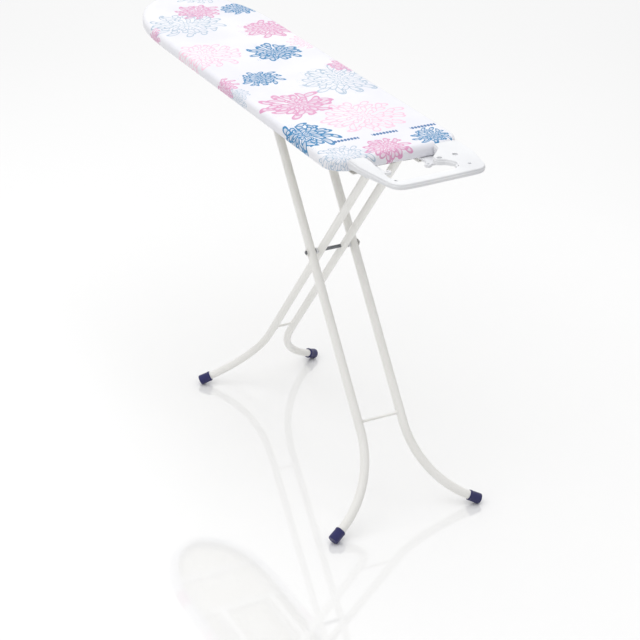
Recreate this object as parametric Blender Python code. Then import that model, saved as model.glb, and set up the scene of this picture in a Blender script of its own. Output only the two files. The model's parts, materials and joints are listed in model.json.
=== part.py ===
"""Folding ironing board with a padded cover, a steel mesh top, scissor legs and an iron rest.

Metres, +Z up. +X runs from the nose to the heel with the iron rest, and -Y is the near side.
The origin is on the floor under the middle of the whole length.
"""
import math

import bmesh
import bpy
from mathutils import Matrix, Vector

# Driving dimensions of the board
BOARD_LENGTH = 1.200
BOARD_WIDTH = 0.300
BOARD_HEIGHT = 0.840
REST_REACH = 0.168
NOSE_LENGTH = 0.360
NOSE_POWER = 3.0
NOSE_ROUNDING = 1.8
HEEL_RADIUS = 0.045
NOSE_X = -(BOARD_LENGTH + REST_REACH) / 2
HEEL_X = NOSE_X + BOARD_LENGTH
TAPER_X = NOSE_X + NOSE_LENGTH
NOSE_STEPS = 13
HEEL_STEPS = 5

# Layers of the top, from the cover down
GAP = 0.0003
COVER_SKIN = 0.0018
COVER_DEPTH = 0.0265
COVER_TOP_RADIUS = 0.011
COVER_LOW_RADIUS = 0.005
COVER_TUCK = 0.024
HEM_RADIUS = 0.0022
HEM_SKIN = 0.0012
ELASTIC_RADIUS = 0.0015
FOAM_THICKNESS = 0.0045
FOAM_SLACK = 0.0005
MESH_THICKNESS = 0.0004
RIM_HEIGHT = 0.0135
RIM_INSET = 0.0033
RIM_FLANGE = 0.0110
RIM_SHEET = 0.0012
BRACES = {"nose_brace": NOSE_X + 0.170, "middle_brace": NOSE_X + 0.345}
BRACE_WIDTH = 0.024
BRACE_HEIGHT = 0.008
BRACE_END_GAP = 0.004
SCREW_CLEARANCE = 0.0006
FOAM_TOP = BOARD_HEIGHT - COVER_SKIN - GAP
MESH_TOP = FOAM_TOP - FOAM_THICKNESS - GAP
RIM_TOP = MESH_TOP - MESH_THICKNESS - GAP

# Scissor legs. The outer pair stands at the heel side, the inner pair at the nose side.
PIVOT = Vector((NOSE_X + 0.912, 0.0, 0.5094))
TOP_PIVOT_Z = 0.800
HINGE_X = HEEL_X - 0.049
SLIDER_X = NOSE_X + 0.700
OUTER_RADIUS = 0.0100
INNER_RADIUS = 0.0090
TUBE_WALL = 0.0010
OUTER_SPREAD = 0.0522
INNER_SPREAD = 0.0283
FOOT_BEND_RADIUS = 0.235
FOOT_BEND_ANGLE = math.radians(57.0)
FOOT_BEND_STEPS = 9
FOOT_STRAIGHT = 0.025
TOP_OVERRUN = 0.010

# Foot caps
CAP_RADIUS = 0.0122
CAP_LENGTH = 0.0290
CAP_FLOOR = 0.0030
CAP_EDGE = 0.0030
SOLE_CUT = 0.0008

# Rods, bushes and rails
AXLE_RADIUS = 0.0040
AXLE_END = 0.0669
BUSH_RADIUS = 0.0070
WASHER_RADIUS = 0.0080
WASHER_THICKNESS = 0.0014
CROSSBAR_RADIUS = 0.0030
OUTER_CROSSBAR = 0.389
INNER_CROSSBAR = 0.400
SLIDER_RADIUS = 0.0050
RAIL_WEB_Y = 0.0680
RAIL_SHEET = 0.0018
RAIL_FLANGE = 0.0140
RAIL_BOTTOM = 0.7880
RAIL_START = SLIDER_X - 0.318
RAIL_END = HEEL_X - 0.038
RUNNER_RADIUS = 0.0065
RUNNER_LIP = 0.0095
SLOT_LOW = 0.0005
SLOT_HIGH = 0.0032
SLIDER_TRAVEL = 0.2850
BORE_GAP = 0.0003
CUT_MARGIN = 0.002
ROD_OVERHANG = 0.0045
SLIDER_OVERHANG = 0.0035
RUNNER_LIP_DEPTH = 0.0025

# Release lever with its catch plate
LEVER_X = SLIDER_X + 0.030
LEVER_Z = 0.8136
LEVER_RADIUS = 0.0030
LEVER_REACH = 0.095
LEVER_OUT = 0.108
LEVER_BEND = 0.012
LEVER_DROP = 0.012
LEVER_OVERHANG = 0.0040
GRIP_OVERLAP = 0.004
GRIP_EDGE = 0.0030
GRIP_SLACK = 0.0004
GRIP_RADIUS = 0.0060
GRIP_LENGTH = 0.055
CATCH_LENGTH = 0.104
CATCH_HALF_WIDTH = 0.0100
CATCH_SHEET = 0.0015
CATCH_PITCH = 0.015
CATCH_NOTCHES = 5
CATCH_LOW = 0.8082
CATCH_HIGH = 0.8192
CATCH_TAIL = 0.008
NOTCH_DEPTH = 0.0050
SPRING_RADIUS = 0.0050
SPRING_WIRE = 0.0007
SPRING_TURNS = 5
SPRING_TURN_STEPS = 10
SPRING_PITCH = 0.0022
SPRING_RAIL_GAP = 0.003
SPRING_LEG_DOWN = 0.012
SPRING_LEG_UP = 0.010

# Iron rest
REST_TOP = BOARD_HEIGHT + 0.0020
REST_DEPTH = 0.0120
REST_ROOT_DEPTH = 0.0080
REST_ROOT_RUN = 0.1100
REST_BEVEL = 0.0018
REST_GAP = 0.0028
LUG_RADIUS = 0.0075
LUG_BORE = 0.0026
TONGUE_TOP = BOARD_HEIGHT - COVER_DEPTH - 0.0004
TONGUE_THICKNESS = 0.0045
TONGUE_IN = 0.0185
TONGUE_OUT = 0.0360
SCREW_X = HEEL_X - 0.0085
SCREW_RADIUS = 0.0020
SCREW_HEAD_RADIUS = 0.0042
SCREW_HEAD = 0.0024
SCREW_LENGTH = 0.0155
SCREWS = {"rest_screw_1": -0.0720, "rest_screw_2": -0.0540, "rest_screw_3": 0.0600, "rest_screw_4": 0.0780}

# Iron rest in plan: X from the heel, Y, and the rounding of each corner
REST_FRAME = [(REST_GAP, -0.116, 0.003), (0.050, -0.115, 0.040), (REST_REACH, -0.097, 0.022),
              (REST_REACH, -0.040, 0.300), (REST_REACH - 0.008, 0.112, 0.020), (0.070, 0.131, 0.050),
              (REST_GAP, 0.131, 0.016)]
REST_WINDOW = [(REST_GAP, -0.080, 0.0), (0.055, -0.080, 0.020), (0.120, -0.086, 0.020),
               (REST_REACH - 0.023, -0.078, 0.012), (REST_REACH - 0.033, 0.052, 0.006),
               (REST_REACH - 0.059, 0.070, 0.012), (0.088, 0.056, 0.004), (0.080, 0.040, 0.008),
               (0.062, 0.042, 0.008), (0.030, 0.073, 0.010), (REST_GAP, 0.078, 0.0)]
# Holes: X from the heel, Y and radius
REST_HOLES = {"ear": (0.076, 0.050, 0.0050), "wide": (0.073, 0.087, 0.0055),
              "small": (0.128, 0.088, 0.0028), "far": (0.127, 0.060, 0.0028),
              "near": (0.141, -0.083, 0.0028)}
# Tongues: lowest and highest Y of the tongue and of its wall, and the lug's Y
REST_TONGUES = {"near": ((-0.082, -0.046), (-0.092, -0.076), -0.042),
                "far": ((0.052, 0.086), (0.080, 0.094), 0.050)}
WALL_TOP_GAP = 0.004
LUG_INSET = 0.003
LUG_LIP = 0.001

SIDES = {"near": -1, "far": 1}
ALONG_Y = Matrix.Rotation(-math.pi / 2, 4, "X")


def make_material(name, colour, roughness, metallic=0.0):
    """Make a Principled material from a colour, a roughness and a metallic value."""
    made = bpy.data.materials.new(name)
    made.use_nodes = True
    shader = made.node_tree.nodes["Principled BSDF"]
    shader.inputs["Base Color"].default_value = (*colour, 1.0)
    shader.inputs["Roughness"].default_value = roughness
    shader.inputs["Metallic"].default_value = metallic
    return made


def make_object(name, bm, finish):
    """Turn a bmesh into a smooth-shaded object with its faces pointing out."""
    bmesh.ops.recalc_face_normals(bm, faces=bm.faces)
    if bm.calc_volume(signed=True) < 0:
        bmesh.ops.reverse_faces(bm, faces=bm.faces)
    mesh = bpy.data.meshes.new(name)
    bm.to_mesh(mesh)
    bm.free()
    mesh.shade_smooth()
    mesh.set_sharp_from_angle(angle=math.radians(35))
    mesh.materials.append(finish)
    made = bpy.data.objects.new(name, mesh)
    bpy.context.scene.collection.objects.link(made)
    return made


def hide_cutter(cutter):
    """Mark an object as a cutting tool that isn't part of the model."""
    cutter.hide_render = True
    cutter.display_type = "WIRE"
    return cutter


def cut(target, cutter, operation="DIFFERENCE"):
    """Cut a hidden tool out of the target, or join it on."""
    hide_cutter(cutter)
    step = target.modifiers.new(cutter.name, "BOOLEAN")
    step.operation = operation
    step.solver = "EXACT"
    step.object = cutter


def loft(name, rings, finish, closed=False):
    """Join rings of equal count with quads; the ends are capped unless the rings close."""
    bm = bmesh.new()
    made = [[bm.verts.new(point) for point in ring] for ring in rings]
    count = len(rings[0])
    pairs = list(zip(made, made[1:]))
    if closed:
        pairs.append((made[-1], made[0]))
    for first, second in pairs:
        for i in range(count):
            j = (i + 1) % count
            bm.faces.new((first[i], first[j], second[j], second[i]))
    if not closed:
        bm.faces.new(made[0])
        bm.faces.new(made[-1])
    return make_object(name, bm, finish)


def lathe(name, profile, finish, place, steps=20):
    """Spin a closed profile of (radius, height) pairs about the local Z axis."""
    bm = bmesh.new()
    points = [bm.verts.new((radius, 0.0, height)) for radius, height in profile]
    edges = [bm.edges.new(pair) for pair in zip(points, points[1:])]
    if profile[0][0] > 0 or profile[-1][0] > 0:
        edges.append(bm.edges.new((points[-1], points[0])))
    bmesh.ops.spin(bm, geom=points + edges, cent=(0, 0, 0), axis=(0, 0, 1),
                   angle=math.tau, steps=steps, use_merge=True)
    bmesh.ops.remove_doubles(bm, verts=bm.verts, dist=1e-6)
    bm.transform(place)
    return make_object(name, bm, finish)


def rod(name, start, end, radius, finish, steps=16):
    """Make a plain round rod between two points."""
    start = Vector(start)
    span = Vector(end) - start
    place = Matrix.Translation(start) @ span.to_track_quat("Z", "Y").to_matrix().to_4x4()
    profile = [(0, 0), (radius, 0), (radius, span.length), (0, span.length)]
    return lathe(name, profile, finish, place, steps)


def sleeve(name, centre_y, length, bore, radius, x, z, finish, steps=16):
    """Make a round sleeve on an axis along Y."""
    place = Matrix.Translation((x, centre_y - length / 2, z)) @ ALONG_Y
    profile = [(bore, 0), (radius, 0), (radius, length), (bore, length)]
    return lathe(name, profile, finish, place, steps)


def prism(name, outline, place, depth, finish):
    """Extrude a flat outline along the local Z axis by the given depth."""
    bm = bmesh.new()
    base = bm.faces.new([bm.verts.new((u, v, 0.0)) for u, v in outline])
    grown = bmesh.ops.extrude_face_region(bm, geom=[base])
    lifted = [item for item in grown["geom"] if isinstance(item, bmesh.types.BMVert)]
    bmesh.ops.translate(bm, verts=lifted, vec=(0, 0, depth))
    bm.transform(place)
    return make_object(name, bm, finish)


def curve_mesh(name, data, finish):
    """Turn curve data into one merged mesh object."""
    guide = bpy.data.objects.new(name + "_curve", data)
    bpy.context.scene.collection.objects.link(guide)
    evaluated = guide.evaluated_get(bpy.context.evaluated_depsgraph_get())
    bm = bmesh.new()
    bm.from_mesh(bpy.data.meshes.new_from_object(evaluated))
    bmesh.ops.remove_doubles(bm, verts=bm.verts, dist=1e-6)
    bpy.data.objects.remove(guide)
    return make_object(name, bm, finish)


def swept(name, points, radius, finish, caps=True, closed=False, resolution=1):
    """Carry a round section along a path; a resolution of 1 gives eight sides."""
    data = bpy.data.curves.new(name, "CURVE")
    data.dimensions = "3D"
    data.bevel_depth = radius
    data.bevel_resolution = resolution
    data.use_fill_caps = caps
    spline = data.splines.new("POLY")
    spline.points.add(len(points) - 1)
    for knot, point in zip(spline.points, points):
        knot.co = (*point, 1.0)
    spline.use_cyclic_u = closed
    return curve_mesh(name, data, finish)


def plate(name, outlines, low, high, bevel, finish):
    """Make a flat plate with rounded edges from an outer outline and its openings."""
    data = bpy.data.curves.new(name, "CURVE")
    data.dimensions = "2D"
    data.fill_mode = "BOTH"
    data.extrude = (high - low) / 2 - bevel
    data.bevel_depth = bevel
    data.bevel_resolution = 1
    data.offset = -bevel
    for outline in outlines:
        spline = data.splines.new("POLY")
        spline.points.add(len(outline) - 1)
        for knot, (x, y) in zip(spline.points, outline):
            knot.co = (x, y, 0.0, 1.0)
        spline.use_cyclic_u = True
    made = curve_mesh(name, data, finish)
    made.data.transform(Matrix.Translation((0, 0, (low + high) / 2)))
    return made


def half_width(x):
    """Half the board's width at x: straight sides, then a blunt rounded nose."""
    along = min(max((TAPER_X - x) / NOSE_LENGTH, 0.0), 1.0)
    return BOARD_WIDTH / 2 * (1 - along ** NOSE_POWER) ** (1 / NOSE_ROUNDING)


def board_outline(inset=0.0):
    """Points round the board's edge, counter-clockwise from the nose tip, moved inwards."""
    half = []
    for step in range(NOSE_STEPS):
        x = TAPER_X - NOSE_LENGTH * math.cos(math.pi / 2 * (step / NOSE_STEPS) ** 1.15)
        half.append((x, -half_width(x)))
    half.append((TAPER_X, -BOARD_WIDTH / 2))
    for step in range(HEEL_STEPS + 1):
        turn = math.pi / 2 * step / HEEL_STEPS
        half.append((HEEL_X - HEEL_RADIUS * (1 - math.sin(turn)),
                     -BOARD_WIDTH / 2 + HEEL_RADIUS * (1 - math.cos(turn))))
    loop = half + [(x, -y) for x, y in reversed(half[1:])]
    return inset_loop(loop, inset)


def inset_loop(loop, distance):
    """Move a counter-clockwise loop inwards along the normals of its corners."""
    moved = []
    for i, point in enumerate(loop):
        here = Vector(point)
        before = (here - Vector(loop[i - 1])).normalized()
        after = (Vector(loop[(i + 1) % len(loop)]) - here).normalized()
        mean = (before + after).normalized()
        stretch = 1 / max(mean.dot(before), 0.5)
        moved.append(tuple(here + Vector((-mean.y, mean.x)) * distance * stretch))
    return moved


def edge_ring(inset, z):
    """Ring of points that follows the board's edge at an inset and a height."""
    return [Vector((x, y, z)) for x, y in board_outline(inset)]


def arc(centre, radius, start, end, steps):
    """Points (inset, height) on an arc, with angles in degrees."""
    turns = [math.radians(start + (end - start) * i / steps) for i in range(steps + 1)]
    return [(centre[0] + radius * math.cos(t), centre[1] + radius * math.sin(t)) for t in turns]


def make_cover(finish):
    """Cover: a skin over the top, round the edge and tucked under to an open hem."""
    bottom = BOARD_HEIGHT - COVER_DEPTH
    top_centre = (COVER_TOP_RADIUS, BOARD_HEIGHT - COVER_TOP_RADIUS)
    low_centre = (COVER_LOW_RADIUS, bottom + COVER_LOW_RADIUS)
    hem_centre = (COVER_TUCK, bottom - HEM_RADIUS)
    outside = arc(top_centre, COVER_TOP_RADIUS, 90, 180, 4)
    outside += arc(low_centre, COVER_LOW_RADIUS, 180, 270, 2)
    outside += [(COVER_TUCK - 0.004, bottom)]
    outside += arc(hem_centre, HEM_RADIUS, 90, -100, 5)
    inside = arc(hem_centre, HEM_RADIUS + HEM_SKIN, -100, 90, 5)
    inside += [(COVER_TUCK - 0.004, bottom + COVER_SKIN)]
    inside += arc(low_centre, COVER_LOW_RADIUS - COVER_SKIN, 270, 180, 2)
    inside += arc(top_centre, COVER_TOP_RADIUS - COVER_SKIN, 180, 90, 4)
    cover = loft("fabric_cover", [edge_ring(d, z) for d, z in outside + inside], finish)
    for name, y in SCREWS.items():
        hole = rod(name + "_cover_cut", (SCREW_X, y, bottom - 0.002), (SCREW_X, y, bottom + 0.004),
                   SCREW_RADIUS + SCREW_CLEARANCE, finish, 8)
        cut(cover, hole)
    elastic = [(x, y, bottom - HEM_RADIUS) for x, y in board_outline(COVER_TUCK)]
    swept("hem_elastic", elastic, ELASTIC_RADIUS - 0.0002, MATERIALS["elastic"], closed=True, resolution=0)
    return cover


def make_top():
    """Cover, foam, mesh panel, rim channel and the braces under the nose."""
    make_cover(MATERIALS["fabric"])
    round_centre = (COVER_TOP_RADIUS, BOARD_HEIGHT - COVER_TOP_RADIUS)
    radius = COVER_TOP_RADIUS - COVER_SKIN - FOAM_SLACK
    foam_low = FOAM_TOP - FOAM_THICKNESS
    end = 180 - math.degrees(math.asin((foam_low - round_centre[1]) / radius))
    edge = arc(round_centre, radius, 90, end, 3)
    loft("foam_pad", [edge_ring(d, z) for d, z in edge], MATERIALS["foam"])
    mesh = [edge_ring(RIM_INSET, MESH_TOP), edge_ring(RIM_INSET, MESH_TOP - MESH_THICKNESS)]
    loft("mesh_panel", mesh, MATERIALS["painted"])
    make_rim()
    for name, x in BRACES.items():
        make_brace(name, x)


def make_rim():
    """Rim: a channel that opens inwards and runs round under the mesh panel."""
    low = RIM_TOP - RIM_HEIGHT
    outer = RIM_INSET
    section = [(outer, RIM_TOP), (outer, low), (outer + RIM_FLANGE, low),
               (outer + RIM_FLANGE, low + RIM_SHEET), (outer + RIM_SHEET, low + RIM_SHEET),
               (outer + RIM_SHEET, RIM_TOP - RIM_SHEET), (outer + RIM_FLANGE, RIM_TOP - RIM_SHEET),
               (outer + RIM_FLANGE, RIM_TOP)]
    rim = loft("rim_channel", [edge_ring(d, z) for d, z in section], MATERIALS["painted"], closed=True)
    for name, y in SCREWS.items():
        hole = rod(name + "_rim_cut", (SCREW_X, y, low - 0.002), (SCREW_X, y, low + 0.004),
                   SCREW_RADIUS + BORE_GAP, MATERIALS["painted"], 8)
        cut(rim, hole)


def make_brace(name, x):
    """Brace: an upturned channel across the board, between the rim's walls."""
    half, tall, sheet = BRACE_WIDTH / 2, BRACE_HEIGHT, RIM_SHEET
    top = RIM_TOP - RIM_SHEET - GAP
    reach = half_width(x - half) - RIM_INSET - RIM_SHEET - BRACE_END_GAP
    outline = [(-half, 0), (half, 0), (half, -tall), (half - sheet, -tall), (half - sheet, -sheet),
               (-half + sheet, -sheet), (-half + sheet, -tall), (-half, -tall)]
    turn = Matrix(((1, 0, 0, x), (0, 0, 1, -reach), (0, 1, 0, top), (0, 0, 0, 1)))
    prism(name, outline, turn, 2 * reach, MATERIALS["painted"])


def stadium(x_low, x_high, z_low, z_high, steps=6):
    """Outline of a slot with round ends, as (x, z) pairs."""
    radius = (z_high - z_low) / 2
    middle = (z_low + z_high) / 2
    right = arc((x_high, middle), radius, -90, 90, steps)
    left = arc((x_low, middle), radius, 90, 270, steps)
    return right + left


def make_rail(name, side):
    """Guide rail: a channel with a slot for the slider and holes for both rods."""
    inner, outer = RAIL_WEB_Y, RAIL_WEB_Y + RAIL_SHEET
    lip = RAIL_WEB_Y + RAIL_FLANGE
    top = RIM_TOP - GAP
    section = [(inner, RAIL_BOTTOM), (lip, RAIL_BOTTOM), (lip, RAIL_BOTTOM + RAIL_SHEET),
               (outer, RAIL_BOTTOM + RAIL_SHEET), (outer, top - RAIL_SHEET),
               (lip, top - RAIL_SHEET), (lip, top), (inner, top)]
    place = Matrix(((0, 0, 1, RAIL_START), (side, 0, 0, 0), (0, 1, 0, 0), (0, 0, 0, 1)))
    rail = prism(name, section, place, RAIL_END - RAIL_START, MATERIALS["painted"])
    slot = stadium(SLIDER_X - SLIDER_TRAVEL, SLIDER_X, TOP_PIVOT_Z - RUNNER_RADIUS - SLOT_LOW,
                   TOP_PIVOT_Z + RUNNER_RADIUS + SLOT_HIGH)
    across = Matrix(((1, 0, 0, 0), (0, 0, side, side * (inner - 0.002)), (0, 1, 0, 0), (0, 0, 0, 1)))
    cut(rail, prism(name + "_slot_cut", slot, across, 0.006, MATERIALS["painted"]))
    for tag, x, z, radius in (("hinge", HINGE_X, TOP_PIVOT_Z, AXLE_RADIUS),
                              ("lever", LEVER_X, LEVER_Z, LEVER_RADIUS)):
        hole = rod(f"{name}_{tag}_cut", (x, side * (inner - 0.002), z), (x, side * (inner + 0.004), z),
                   radius + BORE_GAP, MATERIALS["painted"])
        cut(rail, hole)
    return rail


def make_hinge():
    """Hinge rod under the heel with its spacers and retaining clips."""
    rail_out = RAIL_WEB_Y + RAIL_SHEET
    end = rail_out + ROD_OVERHANG
    rod("hinge_rod", (HINGE_X, -end, TOP_PIVOT_Z), (HINGE_X, end, TOP_PIVOT_Z), AXLE_RADIUS,
        MATERIALS["zinc"])
    middle = 2 * (INNER_SPREAD - INNER_RADIUS - GAP)
    sleeve("hinge_spacer_middle", 0, middle, AXLE_RADIUS + BORE_GAP, BUSH_RADIUS,
           HINGE_X, TOP_PIVOT_Z, MATERIALS["bush"])
    low = INNER_SPREAD + INNER_RADIUS + GAP
    high = RAIL_WEB_Y - GAP
    for word, side in SIDES.items():
        sleeve(f"hinge_spacer_{word}", side * (low + high) / 2, high - low, AXLE_RADIUS + BORE_GAP,
               BUSH_RADIUS, HINGE_X, TOP_PIVOT_Z, MATERIALS["bush"])
        sleeve(f"hinge_clip_{word}", side * (rail_out + GAP + WASHER_THICKNESS / 2), WASHER_THICKNESS,
               AXLE_RADIUS + BORE_GAP, WASHER_RADIUS, HINGE_X, TOP_PIVOT_Z, MATERIALS["zinc"])


class Leg:
    """One leg line: its slope through the pivot, its tube and its sideways foot bend."""

    def __init__(self, name, top_x, spread, radius):
        self.name = name
        self.top = Vector((top_x, 0.0, TOP_PIVOT_Z))
        self.spread = spread
        self.radius = radius
        self.down = (PIVOT - self.top).normalized()

    def foot_axis(self, side):
        """Direction in which the tube's end and its cap point."""
        return self.down * math.cos(FOOT_BEND_ANGLE) + Vector((0, side * math.sin(FOOT_BEND_ANGLE), 0))

    def foot_end(self, side):
        """Centre of the cap's outer end, placed so that its sole meets the floor."""
        fall = -self.foot_axis(side).z
        level = math.sqrt(1 - fall * fall)
        height = (CAP_RADIUS - CAP_EDGE) * level + CAP_EDGE - CAP_EDGE * fall - SOLE_CUT
        run = (PIVOT.z - height) / -self.down.z
        tail = FOOT_STRAIGHT + CAP_FLOOR + GAP
        out = FOOT_BEND_RADIUS * (1 - math.cos(FOOT_BEND_ANGLE)) + tail * math.sin(FOOT_BEND_ANGLE)
        return PIVOT + self.down * run + Vector((0, side * (self.spread + out), 0))

    def path(self, side):
        """Centre line: straight from the top, an arc outwards, a short straight end."""
        axis = self.foot_axis(side)
        tube_end = self.foot_end(side) - axis * (CAP_FLOOR + GAP)
        bend_end = tube_end - axis * FOOT_STRAIGHT
        turn = FOOT_BEND_RADIUS
        outward = Vector((0, side, 0))
        start = bend_end - self.down * turn * math.sin(FOOT_BEND_ANGLE)
        start -= outward * turn * (1 - math.cos(FOOT_BEND_ANGLE))
        points = [self.top - self.down * TOP_OVERRUN + outward * self.spread]
        for step in range(FOOT_BEND_STEPS + 1):
            angle = FOOT_BEND_ANGLE * step / FOOT_BEND_STEPS
            ahead, aside = math.sin(angle), 1 - math.cos(angle)
            points.append(start + self.down * turn * ahead + outward * turn * aside)
        return points + [tube_end]

    def build_tube(self, word, side, top_bore):
        """Hollow tube with its cross holes at the top and at the pivot."""
        name = f"{self.name}_tube_{word}"
        tube = swept(name, self.path(side), self.radius, MATERIALS["painted"], caps=False, resolution=2)
        wall = tube.modifiers.new("wall", "SOLIDIFY")
        wall.thickness = TUBE_WALL
        wall.offset = -1.0
        wall.use_even_offset = True
        for tag, place, bore in (("top", self.top, top_bore), ("pivot", PIVOT, AXLE_RADIUS)):
            centre = place + Vector((0, side * self.spread, 0))
            reach = Vector((0, self.radius + CUT_MARGIN, 0))
            cut(tube, rod(f"{name}_{tag}_cut", centre - reach, centre + reach, bore + BORE_GAP,
                          MATERIALS["painted"], 12))
        return tube

    def build_cap(self, word, side):
        """Foot cap: a cup over the tube's end, with a flat sole that stands on the floor."""
        axis = self.foot_axis(side)
        place = Matrix.Translation(self.foot_end(side)) @ (-axis).to_track_quat("Z", "Y").to_matrix().to_4x4()
        bore = self.radius + BORE_GAP
        profile = [(0, 0)] + arc((CAP_RADIUS - CAP_EDGE, CAP_EDGE), CAP_EDGE, -90, 0, 3)
        profile += [(CAP_RADIUS, CAP_LENGTH - 0.001), (CAP_RADIUS - 0.001, CAP_LENGTH),
                    (bore, CAP_LENGTH), (bore, CAP_FLOOR), (0, CAP_FLOOR)]
        cap = lathe(f"{self.name}_foot_{word}", profile, MATERIALS["cap"], place)
        bm = bmesh.new()
        bm.from_mesh(cap.data)
        bmesh.ops.bisect_plane(bm, geom=bm.verts[:] + bm.edges[:] + bm.faces[:], plane_co=(0, 0, 0),
                               plane_no=(0, 0, -1), clear_outer=True)
        bmesh.ops.holes_fill(bm, edges=[edge for edge in bm.edges if edge.is_boundary])
        bmesh.ops.triangulate(bm, faces=bm.faces)
        bm.to_mesh(cap.data)
        bm.free()
        return cap

    def build_crossbar(self, distance):
        """Thin rod welded between the two tubes, below the pivot."""
        centre = PIVOT + self.down * distance
        reach = Vector((0, self.spread - self.radius - GAP, 0))
        return rod(f"{self.name}_crossbar", centre - reach, centre + reach, CROSSBAR_RADIUS,
                   MATERIALS["painted"], 10)

    def build(self, top_bore, crossbar):
        """Both tubes, both caps and the crossbar."""
        for word, side in SIDES.items():
            self.build_tube(word, side, top_bore)
            self.build_cap(word, side)
        self.build_crossbar(crossbar)


def make_pivot():
    """Axle through all four tubes, with spacers between the pairs and outer washers."""
    rod("pivot_axle", (PIVOT.x, -AXLE_END, PIVOT.z), (PIVOT.x, AXLE_END, PIVOT.z), AXLE_RADIUS,
        MATERIALS["axle"])
    low = INNER_SPREAD + INNER_RADIUS + GAP
    high = OUTER_SPREAD - OUTER_RADIUS - GAP
    outside = OUTER_SPREAD + OUTER_RADIUS + GAP
    for word, side in SIDES.items():
        sleeve(f"pivot_spacer_{word}", side * (low + high) / 2, high - low, AXLE_RADIUS + BORE_GAP,
               BUSH_RADIUS, PIVOT.x, PIVOT.z, MATERIALS["plastic"])
        sleeve(f"pivot_washer_{word}", side * (outside + WASHER_THICKNESS / 2), WASHER_THICKNESS,
               AXLE_RADIUS + BORE_GAP, WASHER_RADIUS, PIVOT.x, PIVOT.z, MATERIALS["painted"])


def make_slider():
    """Slider rod at the top of the outer legs, with a flanged runner in each rail."""
    web_in, web_out = RAIL_WEB_Y - GAP, RAIL_WEB_Y + RAIL_SHEET + GAP
    end = web_out + SLIDER_OVERHANG
    rod("slider_rod", (SLIDER_X, -end, TOP_PIVOT_Z), (SLIDER_X, end, TOP_PIVOT_Z), SLIDER_RADIUS,
        MATERIALS["zinc"])
    bore = SLIDER_RADIUS + BORE_GAP
    lip = web_in - RUNNER_LIP_DEPTH
    profile = [(bore, lip), (RUNNER_LIP, lip), (RUNNER_LIP, web_in),
               (RUNNER_RADIUS, web_in), (RUNNER_RADIUS, web_out), (bore, web_out)]
    for word, side in SIDES.items():
        place = Matrix.Translation((SLIDER_X, 0, TOP_PIVOT_Z)) @ Matrix.Rotation(-side * math.pi / 2, 4, "X")
        lathe(f"slider_runner_{word}", profile, MATERIALS["bush"], place)


def make_lever():
    """Release lever: a bent rod through both rails, its grip, catch plate and spring."""
    end = RAIL_WEB_Y + RAIL_SHEET + LEVER_OVERHANG
    corner = Vector((LEVER_X, -LEVER_OUT, LEVER_Z))
    points = [Vector((LEVER_X, end, LEVER_Z)), corner + Vector((0, LEVER_BEND, 0))]
    for step in range(1, 5):
        turn = math.pi / 2 * step / 4
        aside, back = LEVER_BEND * (1 - math.cos(turn)), LEVER_BEND * (1 - math.sin(turn))
        points.append(corner + Vector((aside, back, 0)))
    dip = Vector((LEVER_REACH, 0, -LEVER_DROP))
    points.append(corner + dip)
    swept("lever_rod", points, LEVER_RADIUS, MATERIALS["zinc"])
    direction = (corner + dip - points[-2]).normalized()
    grip_start = corner + dip - direction * (GRIP_LENGTH - GRIP_OVERLAP)
    place = Matrix.Translation(grip_start) @ direction.to_track_quat("Z", "Y").to_matrix().to_4x4()
    bore = LEVER_RADIUS + BORE_GAP + GRIP_SLACK
    depth = GRIP_LENGTH - GRIP_EDGE
    profile = [(0, depth), (bore, depth), (bore, 0), (GRIP_RADIUS - 0.001, 0), (GRIP_RADIUS, 0.001),
               (GRIP_RADIUS, depth), (GRIP_RADIUS - GRIP_EDGE, GRIP_LENGTH), (0, GRIP_LENGTH)]
    lathe("lever_grip", profile, MATERIALS["cap"], place, 16)
    sleeve("lever_clip", end - 0.002, WASHER_THICKNESS, LEVER_RADIUS + BORE_GAP, WASHER_RADIUS - 0.001,
           LEVER_X, LEVER_Z, MATERIALS["zinc"])
    make_catch()
    make_spring()


def make_catch():
    """Catch plate: a channel over the slider rod, with height notches in its lower edges."""
    tail = LEVER_X + CATCH_TAIL
    outline = [(tail, CATCH_HIGH), (tail, CATCH_LOW)]
    for notch in range(CATCH_NOTCHES):
        centre = SLIDER_X - CATCH_PITCH * notch
        outline += arc((centre, CATCH_LOW), NOTCH_DEPTH, 0, 180, 4)
    outline += [(LEVER_X - CATCH_LENGTH, CATCH_LOW), (LEVER_X - CATCH_LENGTH, CATCH_HIGH)]
    across = Matrix(((1, 0, 0, 0), (0, 0, 1, -CATCH_HALF_WIDTH), (0, 1, 0, 0), (0, 0, 0, 1)))
    catch = prism("catch_plate", outline, across, 2 * CATCH_HALF_WIDTH, MATERIALS["zinc"])
    inside = CATCH_HALF_WIDTH - CATCH_SHEET
    hollow = [(tail + 0.01, CATCH_HIGH - CATCH_SHEET), (tail + 0.01, CATCH_LOW - 0.01),
              (LEVER_X - CATCH_LENGTH - 0.01, CATCH_LOW - 0.01),
              (LEVER_X - CATCH_LENGTH - 0.01, CATCH_HIGH - CATCH_SHEET)]
    inner = Matrix(((1, 0, 0, 0), (0, 0, 1, -inside), (0, 1, 0, 0), (0, 0, 0, 1)))
    cut(catch, prism("catch_hollow_cut", hollow, inner, 2 * inside, MATERIALS["zinc"]))
    cut(catch, rod("catch_bore_cut", (LEVER_X, -0.02, LEVER_Z), (LEVER_X, 0.02, LEVER_Z),
                   LEVER_RADIUS + BORE_GAP, MATERIALS["zinc"], 12))


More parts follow.
